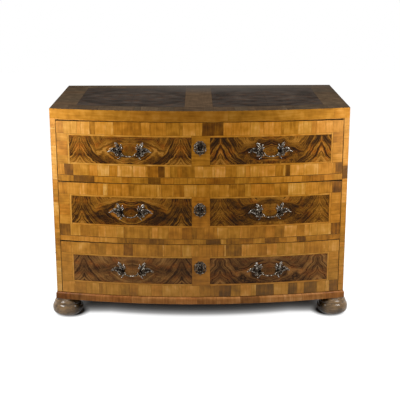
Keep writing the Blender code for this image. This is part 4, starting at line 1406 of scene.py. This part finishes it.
# %% [markdown]
# ## A founder's model: leaves, beads and bosses
# A mount like this was carved in wax first: leaves and scrolls laid over one another, each with a
# ridge down its middle. A curve does the same work, drawn flat as on a table. Its
# profile is the cross section of a leaf, its path is the midrib, and the radius at each point is
# the leaf's half width. The curves become meshes, a cut at the back of each makes it lie flat
# on the wood, and a voxel remesh melts them into one casting with a closed skin.

# %% Draw leaves and beads
MELT = 0.00045
LEAF_PROFILE = (
    (-1.00, -0.70), (-0.90, -0.12), (-0.66, 0.14), (-0.38, 0.12), (-0.14, -0.10), (0.00, -0.18),
    (0.14, -0.10), (0.38, 0.12), (0.66, 0.14), (0.90, -0.12), (1.00, -0.70), (0.60, -0.95), (-0.60, -0.95),
)
bpy.ops.object.select_all(action="DESELECT")
bpy.ops.curve.primitive_bezier_circle_add(radius=1, location=(0, 0, 0))
leaf_profile = bpy.context.object
leaf_profile.name = "leaf_profile"
leaf_profile.data.splines.clear()
outline = leaf_profile.data.splines.new("POLY")
outline.points.add(len(LEAF_PROFILE) - 1)
for point, (wide, high) in zip(outline.points, LEAF_PROFILE):
    point.co = (wide * MM, high * MM, 0, 1)
outline.use_cyclic_u = True


def leaf(points, round_bar=False):
    """A leaf along a path. Each point is across, up, outward and half width, in millimetres."""
    bpy.ops.object.select_all(action="DESELECT")
    bpy.ops.curve.primitive_bezier_curve_add(location=(0, 0, 0))
    curve = bpy.context.object.data
    curve.resolution_u = 7
    curve.twist_mode = "Z_UP"
    curve.use_fill_caps = True
    if round_bar:
        curve.bevel_depth, curve.bevel_resolution = MM, 3
    else:
        curve.bevel_mode, curve.bevel_object = "OBJECT", leaf_profile
    knots = curve.splines[0].bezier_points
    knots.add(len(points) - 2)
    for knot, (*place, half) in zip(knots, points):
        knot.co = Vector(place) * MM
        knot.handle_left_type = knot.handle_right_type = "AUTO"
        knot.radius = half
    bpy.ops.object.convert(target="MESH")
    return bpy.context.object


def bead(across, up, outward, radius, flat=1.0):
    """A small ball, or a flattened one."""
    return added(bpy.ops.mesh.primitive_uv_sphere_add, segments=16, ring_count=10, radius=radius * MM,
                 location=(across * MM, up * MM, outward * MM), scale=(1, 1, flat))


print("points on a leaf's section:", len(outline.points))

# %% Melt, wear and place a casting
def applied(piece, kind, **settings):
    """Adds a modifier, sets it and applies it."""
    alone(piece)
    modifier = piece.modifiers.new(kind, kind)
    for name, value in settings.items():
        setattr(modifier, name, value)
    bpy.ops.object.modifier_apply(modifier=kind)


def cast(name, parts, back=0.0001):
    """Cuts each part flat at the back and melts them all into one casting."""
    for part in parts:
        work_on(part)
        bpy.ops.mesh.select_all(action="SELECT")
        bpy.ops.mesh.remove_doubles(threshold=0.000001)
        bpy.ops.mesh.normals_make_consistent(inside=False)
        bpy.ops.mesh.bisect(plane_co=(0, 0, back), plane_no=(0, 0, 1), clear_inner=True, use_fill=True)
        put_down()
    for part in parts:
        part.select_set(True)
    bpy.ops.object.join()
    piece = bpy.context.object
    piece.name = piece.data.name = name
    applied(piece, "REMESH", mode="VOXEL", voxel_size=MELT)
    applied(piece, "SMOOTH", factor=0.5, iterations=2)
    return piece


def find_wear_and_glint(piece, reach, level=0.30):
    """Writes how far each point stands out from its neighbours, from 0 in hollows to 1 on ridges."""
    mesh = bmesh.new()
    mesh.from_mesh(piece.data)
    mesh.normal_update()
    beside = [[edge.other_vert(vertex) for edge in vertex.link_edges] for vertex in mesh.verts]
    stands = []
    for vertex in mesh.verts:
        near = beside[vertex.index]
        around = [other.co for other in near] + [far.co for other in near for far in beside[other.index]]
        middle = sum(around, Vector()) / len(around)
        stands.append((vertex.co - middle).dot(vertex.normal) / reach)
    wear_and_glint = piece.data.attributes.new("wear_and_glint", "FLOAT", "POINT").data
    for number, stand, near in zip(wear_and_glint, stands, beside):
        softened = 0.5 * stand + 0.5 * sum(stands[other.index] for other in near) / len(near)
        number.value = min(max(level + softened, 0), 1)
    mesh.free()


def finished_casting(piece, angle):
    """Smooths a casting and gives it its metal."""
    smooth(piece, angle)
    coat(piece, dark_bronze)
    return piece.data.copy()


def on_front(angle, height):
    """A rule that stands a casting up and carries it from the table to the bowed front."""
    turned, lean = math.cos(angle), math.sin(angle)
    across, out = BOW_RADIUS * lean, BOW_CENTRE - BOW_RADIUS * turned

    def where(x, up, outward):
        return across + x * turned + outward * lean, out + x * lean - outward * turned, height + up
    return where


print("casting helpers are ready")

# %% [markdown]
# ## The keyhole plates
# Each keyhole has a shield of scrolls: two large C scrolls clasp it, petals lie round the hole, two
# beads sit below it, and a leaf hangs at the bottom. The plate is cast once, its keyhole is
# cut with a Boolean, and it is copied for the three drawers.

# %% Cast one keyhole plate
PAIRED_LEAVES = (
    ((4, 24, 1.6, 1.2), (11, 22.5, 2.2, 2.4), (17.5, 17, 2.6, 3.0), (21.5, 9, 2.6, 2.8), (20.5, 1, 2.3, 2.2),
     (15.5, -1.5, 2.0, 1.6), (14, 3, 1.9, 1.2)),
    ((21, 3, 1.6, 1.8), (23.2, -4, 1.8, 2.2), (19.5, -11, 2.0, 2.4), (13, -16, 2.0, 2.2), (8, -21, 1.8, 1.6)),
    ((7, 12, 2.4, 2.0), (11.5, 6, 2.6, 2.6), (11.5, -3, 2.6, 2.4), (8.0, -10, 2.4, 1.8)),
    ((3, 17, 2.2, 1.4), (8, 18.5, 2.4, 2.2), (13, 14, 2.2, 1.6)),
    ((2, 26, 1.4, 1.2), (6.5, 28.5, 1.8, 1.8), (10.5, 26, 1.6, 1.0)),
    ((12, -10, 1.8, 1.4), (17, -15.5, 1.8, 1.8), (15.5, -20.5, 1.5, 1.0)),
)
MIDDLE_LEAVES = (
    ((0, -11, 2.2, 2.6), (0, -17, 2.8, 4.0), (0, -24, 2.2, 2.6), (0, -30, 1.0, 0.7)),
    ((0, 8, 2.4, 2.4), (0, 16, 3.0, 3.6), (0, 24, 2.4, 2.4), (0, 29.5, 1.2, 0.8)),
)
PLATE_BEADS = (
    (0, 0, 0.2, 13.5, 0.11), (0, 2, 0.2, 18.0, 0.07), (0, -14, 0.2, 11, 0.10), (0, 15, 0.2, 11, 0.10),
    (6.2, -11.5, 2.6, 1.9), (-6.2, -11.5, 2.6, 1.9), (21.5, 8, 3.0, 1.5), (-21.5, 8, 3.0, 1.5),
    (0, 26, 2.6, 1.6), (0, -27.5, 1.6, 1.3),
)
parts = []
for points in PAIRED_LEAVES:
    parts += [leaf([(side * across, *rest) for across, *rest in points]) for side in (1, -1)]
parts += [leaf(points) for points in MIDDLE_LEAVES]
parts += [bead(*place) for place in PLATE_BEADS]
plate = cast("keyhole_shield_upper", parts)
press(plate, lambda x, y, z: (0.96 * x, y - PLATE_BELOW_KEYHOLE, z))
cutters = [
    added(bpy.ops.mesh.primitive_cylinder_add, vertices=24, radius=0.0027, depth=0.02, location=(0, 0, 0)),
    added(bpy.ops.mesh.primitive_cube_add, size=1, location=(0, -0.0065, 0), scale=(0.0034, 0.0130, 0.02)),
]
for cutter in cutters:
    applied(plate, "BOOLEAN", operation="DIFFERENCE", object=cutter)
    bpy.data.objects.remove(cutter)
find_wear_and_glint(plate, 0.00032, level=0.375)
plate_model = finished_casting(plate, 40)
print("keyhole shield:", len(plate_model.polygons), "faces")

# %% Fix the three plates
for name, plan in DRAWERS.items():
    shield = plate if name == "upper" else copied(f"keyhole_shield_{name}", plate_model)
    press(shield, on_front(0, plan["keyhole"]))
    hand_over(shield, f"drawer_{name}", f"keyhole_plate_{name}")

# %% [markdown]
# ## The handle mounts
# A handle hangs between two mounts, one for each hand. A mount is a spray of leaves: one long
# leaf points outwards, one climbs and curls over, small scrolls fill the inner side, and
# two lobes hang down. From its middle stands a turned boss that holds the end of the bail.
# Its post goes through the drawer front and has a square nut behind. The right-hand mount is
# cast, and its mirror image makes the left-hand one.

# %% Cast one mount
MOUNT_LEAVES = (
    ((2, 1, 3.0, 3.6), (11, 5.5, 3.8, 5.2), (23, 8.5, 4.0, 5.8), (35, 6.5, 3.3, 4.6), (44, 2.2, 2.0, 2.4),
     (48.5, 0.2, 1.2, 0.8)),
    ((8, 9, 3.4, 2.6), (17, 15.5, 4.2, 3.6), (27, 16.5, 3.8, 3.2), (36, 12, 2.6, 1.8), (40.5, 7.8, 1.6, 0.8)),
    ((7, 1, 3.2, 2.6), (17, -1.5, 3.8, 3.0), (25, 0.5, 3.0, 2.2), (30.5, 2.6, 1.8, 0.9)),
    ((0, 3, 3.4, 3.6), (1.5, 12, 4.0, 4.6), (5.0, 22, 3.8, 4.4), (9.5, 31, 3.6, 3.4), (13.5, 37, 3.6, 2.4),
     (16.8, 38.6, 3.2, 1.6), (17.6, 35.6, 2.6, 1.0)),
    ((4, 12, 3.6, 2.0), (11, 20, 4.0, 3.0), (14.5, 27, 3.4, 2.4), (18.5, 30, 2.2, 1.0)),
    ((0.5, 6, 3.2, 2.4), (-3.2, 12.5, 3.8, 2.6), (-7.0, 16.2, 3.6, 2.0), (-8.4, 20.0, 3.2, 1.4),
     (-6.0, 21.6, 2.8, 1.0)),
    ((1, 17, 3.4, 2.2), (-1.6, 24, 3.8, 2.6), (-4.6, 28.5, 3.4, 1.9), (-3.6, 32.2, 2.8, 1.2)),
    ((1, -2, 3.2, 3.0), (6, -7.5, 3.8, 3.4), (12, -12, 3.6, 2.8), (17, -11, 3.2, 2.0),
     (17.4, -7.2, 2.6, 1.3)),
    ((-0.5, -3, 3.2, 3.2), (0.4, -10, 3.8, 4.0), (1.6, -17, 3.0, 3.0), (4.6, -22.5, 1.8, 1.4),
     (7.0, -24.2, 1.0, 0.7)),
    ((-1, -2, 3.0, 2.4), (-4.6, -6.5, 3.2, 2.4), (-6.6, -11, 2.6, 1.8), (-5.0, -14, 2.0, 1.0)),
    ((9, -3, 3.0, 2.0), (15, -5.6, 3.4, 2.2), (20.5, -4.6, 2.4, 1.2)),
)
MOUNT_BEADS = (
    (2, 2, 0.2, 9, 0.26), (10, 6, 0.2, 8.5, 0.24), (47.6, 1.0, 1.8, 1.9), (17.2, 36.0, 3.8, 1.9),
    (-6.6, 20.4, 3.4, 1.6), (-3.6, 31.6, 3.0, 1.4), (16.4, -8.6, 3.4, 1.8), (6.8, -23.8, 1.4, 1.3),
    (9.0, 13.5, 4.6, 1.5), (40.6, 8.0, 2.0, 1.2), (30.6, 2.8, 2.4, 1.2),
)
BOSS_RINGS = (
    (6.2, 0.6), (6.2, 3.4), (4.8, 5.2), (3.5, 7.6), (3.3, 10.6), (4.3, 12.4), (5.7, 13.8), (6.3, 15.6),
    (6.4, 17.4), (6.0, 19.4), (5.0, 21.2), (3.4, 22.6), (1.4, 23.6), (0.3, 23.9),
)
POST_RINGS = ((2.9, -31.0), (3.0, -30.5), (3.0, 1.5), (2.8, 2.0))
SLIMMER = 0.84
parts = [leaf([(*place, SLIMMER * half) for *place, half in points]) for points in MOUNT_LEAVES]
parts += [bead(*place) for place in MOUNT_BEADS]
parts.append(lathe(BOSS_RINGS))
mount = cast("right_mount", parts)
press(mount, lambda x, y, z: (1.02 * x, (0.95 if y > 0 else 1.06) * y, z))
find_wear_and_glint(mount, 0.00019)
post = lathe(POST_RINGS, vertices=16)
nut = added(bpy.ops.mesh.primitive_cube_add, size=1, location=(0, 0, -0.0263), scale=(0.011, 0.011, 0.004))
work_on(nut)
bpy.ops.mesh.select_all(action="SELECT")
bpy.ops.mesh.bevel(offset=0.0006, segments=2, affect="EDGES")
put_down()
for part in (post, nut, mount):
    part.select_set(True)
bpy.context.view_layer.objects.active = mount
bpy.ops.object.join()
mount_models = {"right": finished_casting(mount, 50)}
work_on(mount)
bpy.ops.mesh.select_all(action="SELECT")
bpy.ops.transform.resize(value=(-1, 1, 1), center_override=(0, 0, 0))
all_outwards()
put_down()
mount_models["left"] = mount.data.copy()
bpy.data.objects.remove(mount)
print("mount:", len(mount_models["right"].polygons), "faces")

# %% [markdown]
# ## The bails
# The bail is the part that the hand lifts. It hangs between its two bosses in a double curve, swells
# towards its middle, and carries two beads there. It is a round bar drawn on a curve whose radius
# changes from point to point, with the beads, cast like the mounts.

# %% Cast one bail
HANDLE_TURN, POST_TURN = math.radians(6.6239), math.radians(0.866)
AXIS_OUT = 0.017
half_span = (BOW_RADIUS + AXIS_OUT) * math.sin(POST_TURN) / MM
BAIL_SIDE = (
    (3.4, 0.0, 1.9), (6.4, 0.0, 1.9), (8.2, -0.9, 2.6), (9.8, -3.1, 2.3), (12.6, -6.9, 2.7),
    (16.4, -9.7, 2.6), (21.0, -11.5, 2.2), (25.5, -12.6, 2.0), (29.0, -13.0, 1.9),
)
BAIL_BEADS = (
    (3.3, -13.0, 3.3), (8.4, -12.8, 2.6), (half_span - 8.4, -1.1, 2.9), (half_span - 11.8, -6.2, 3.2),
)
half_path = [(half_span - inwards, up, 0, half) for inwards, up, half in BAIL_SIDE]
parts = [leaf(half_path + [(-across, *rest) for across, *rest in reversed(half_path)], round_bar=True)]
for across, up, radius in BAIL_BEADS:
    parts += [bead(side * across, up, 0, radius) for side in (-1, 1)]
bail = cast("bail_casting", parts, back=-0.01)
find_wear_and_glint(bail, 0.00013)
bail_model = finished_casting(bail, 50)
for spare in (bail, leaf_profile):
    bpy.data.objects.remove(spare)
print("bail:", len(bail_model.polygons), "faces, bosses", round(2 * half_span, 1), "mm apart")

# %% Hang the six handles
def hang(name, model, where, body, node):
    """Places a copy of a casting by a rule."""
    piece = copied(name, model)
    press(piece, where)
    hand_over(piece, body, node)


BAIL_HALF_THICK = 0.0019
AXIS_RISE = (BOW_RADIUS + AXIS_OUT) * math.cos(POST_TURN) - BOW_RADIUS
for drawer in DRAWERS:
    for column, side, _ in SIDES:
        handle = f"{drawer}_{column}"
        low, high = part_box(f"handle_{handle}_bail")
        axis_height = high.z - BAIL_HALF_THICK
        middle = side * HANDLE_TURN
        for hand, turn, _ in SIDES:
            on_post = on_front(middle + turn * POST_TURN, axis_height)
            hang(f"{handle}_{hand}_mount", mount_models[hand], on_post, f"drawer_{drawer}",
                 f"handle_{handle}_{hand}_mount")
        on_axis = on_front(middle, axis_height)
        hang(f"{handle}_bail", bail_model, lambda x, up, outward: on_axis(x, up, outward + AXIS_RISE),
             f"bail_{handle}", f"handle_{handle}_bail")

# %% [markdown]
# ## The hidden parts
# The lock cases and bolts are forged iron, grey and a little rusty. They are only seen when a
# drawer stands open. Their shapes, and those of the drawer boxes, the back and the inner boards,
# come from the working drawings, so they only need a finish.

# %% Give the hidden parts their finishes
HIDDEN = {
    "bottom_board": pine_across, "dust_board_upper": pine_across, "dust_board_lower": pine_across,
    "back_board_upper": pine_back, "back_board_lower": pine_back,
}
for name in DRAWERS:
    for node in (f"lock_case_{name}", f"lock_bolt_{name}"):
        HIDDEN[node] = old_iron
    for end in ("side_left", "side_right"):
        HIDDEN[f"drawer_{name}_{end}"] = pine_deep
    for end in ("back", "bottom"):
        HIDDEN[f"drawer_{name}_{end}"] = pine_across
for node, finish in HIDDEN.items():
    coat(bpy.data.objects[node], finish)
print("hidden parts with a finish:", len(HIDDEN))
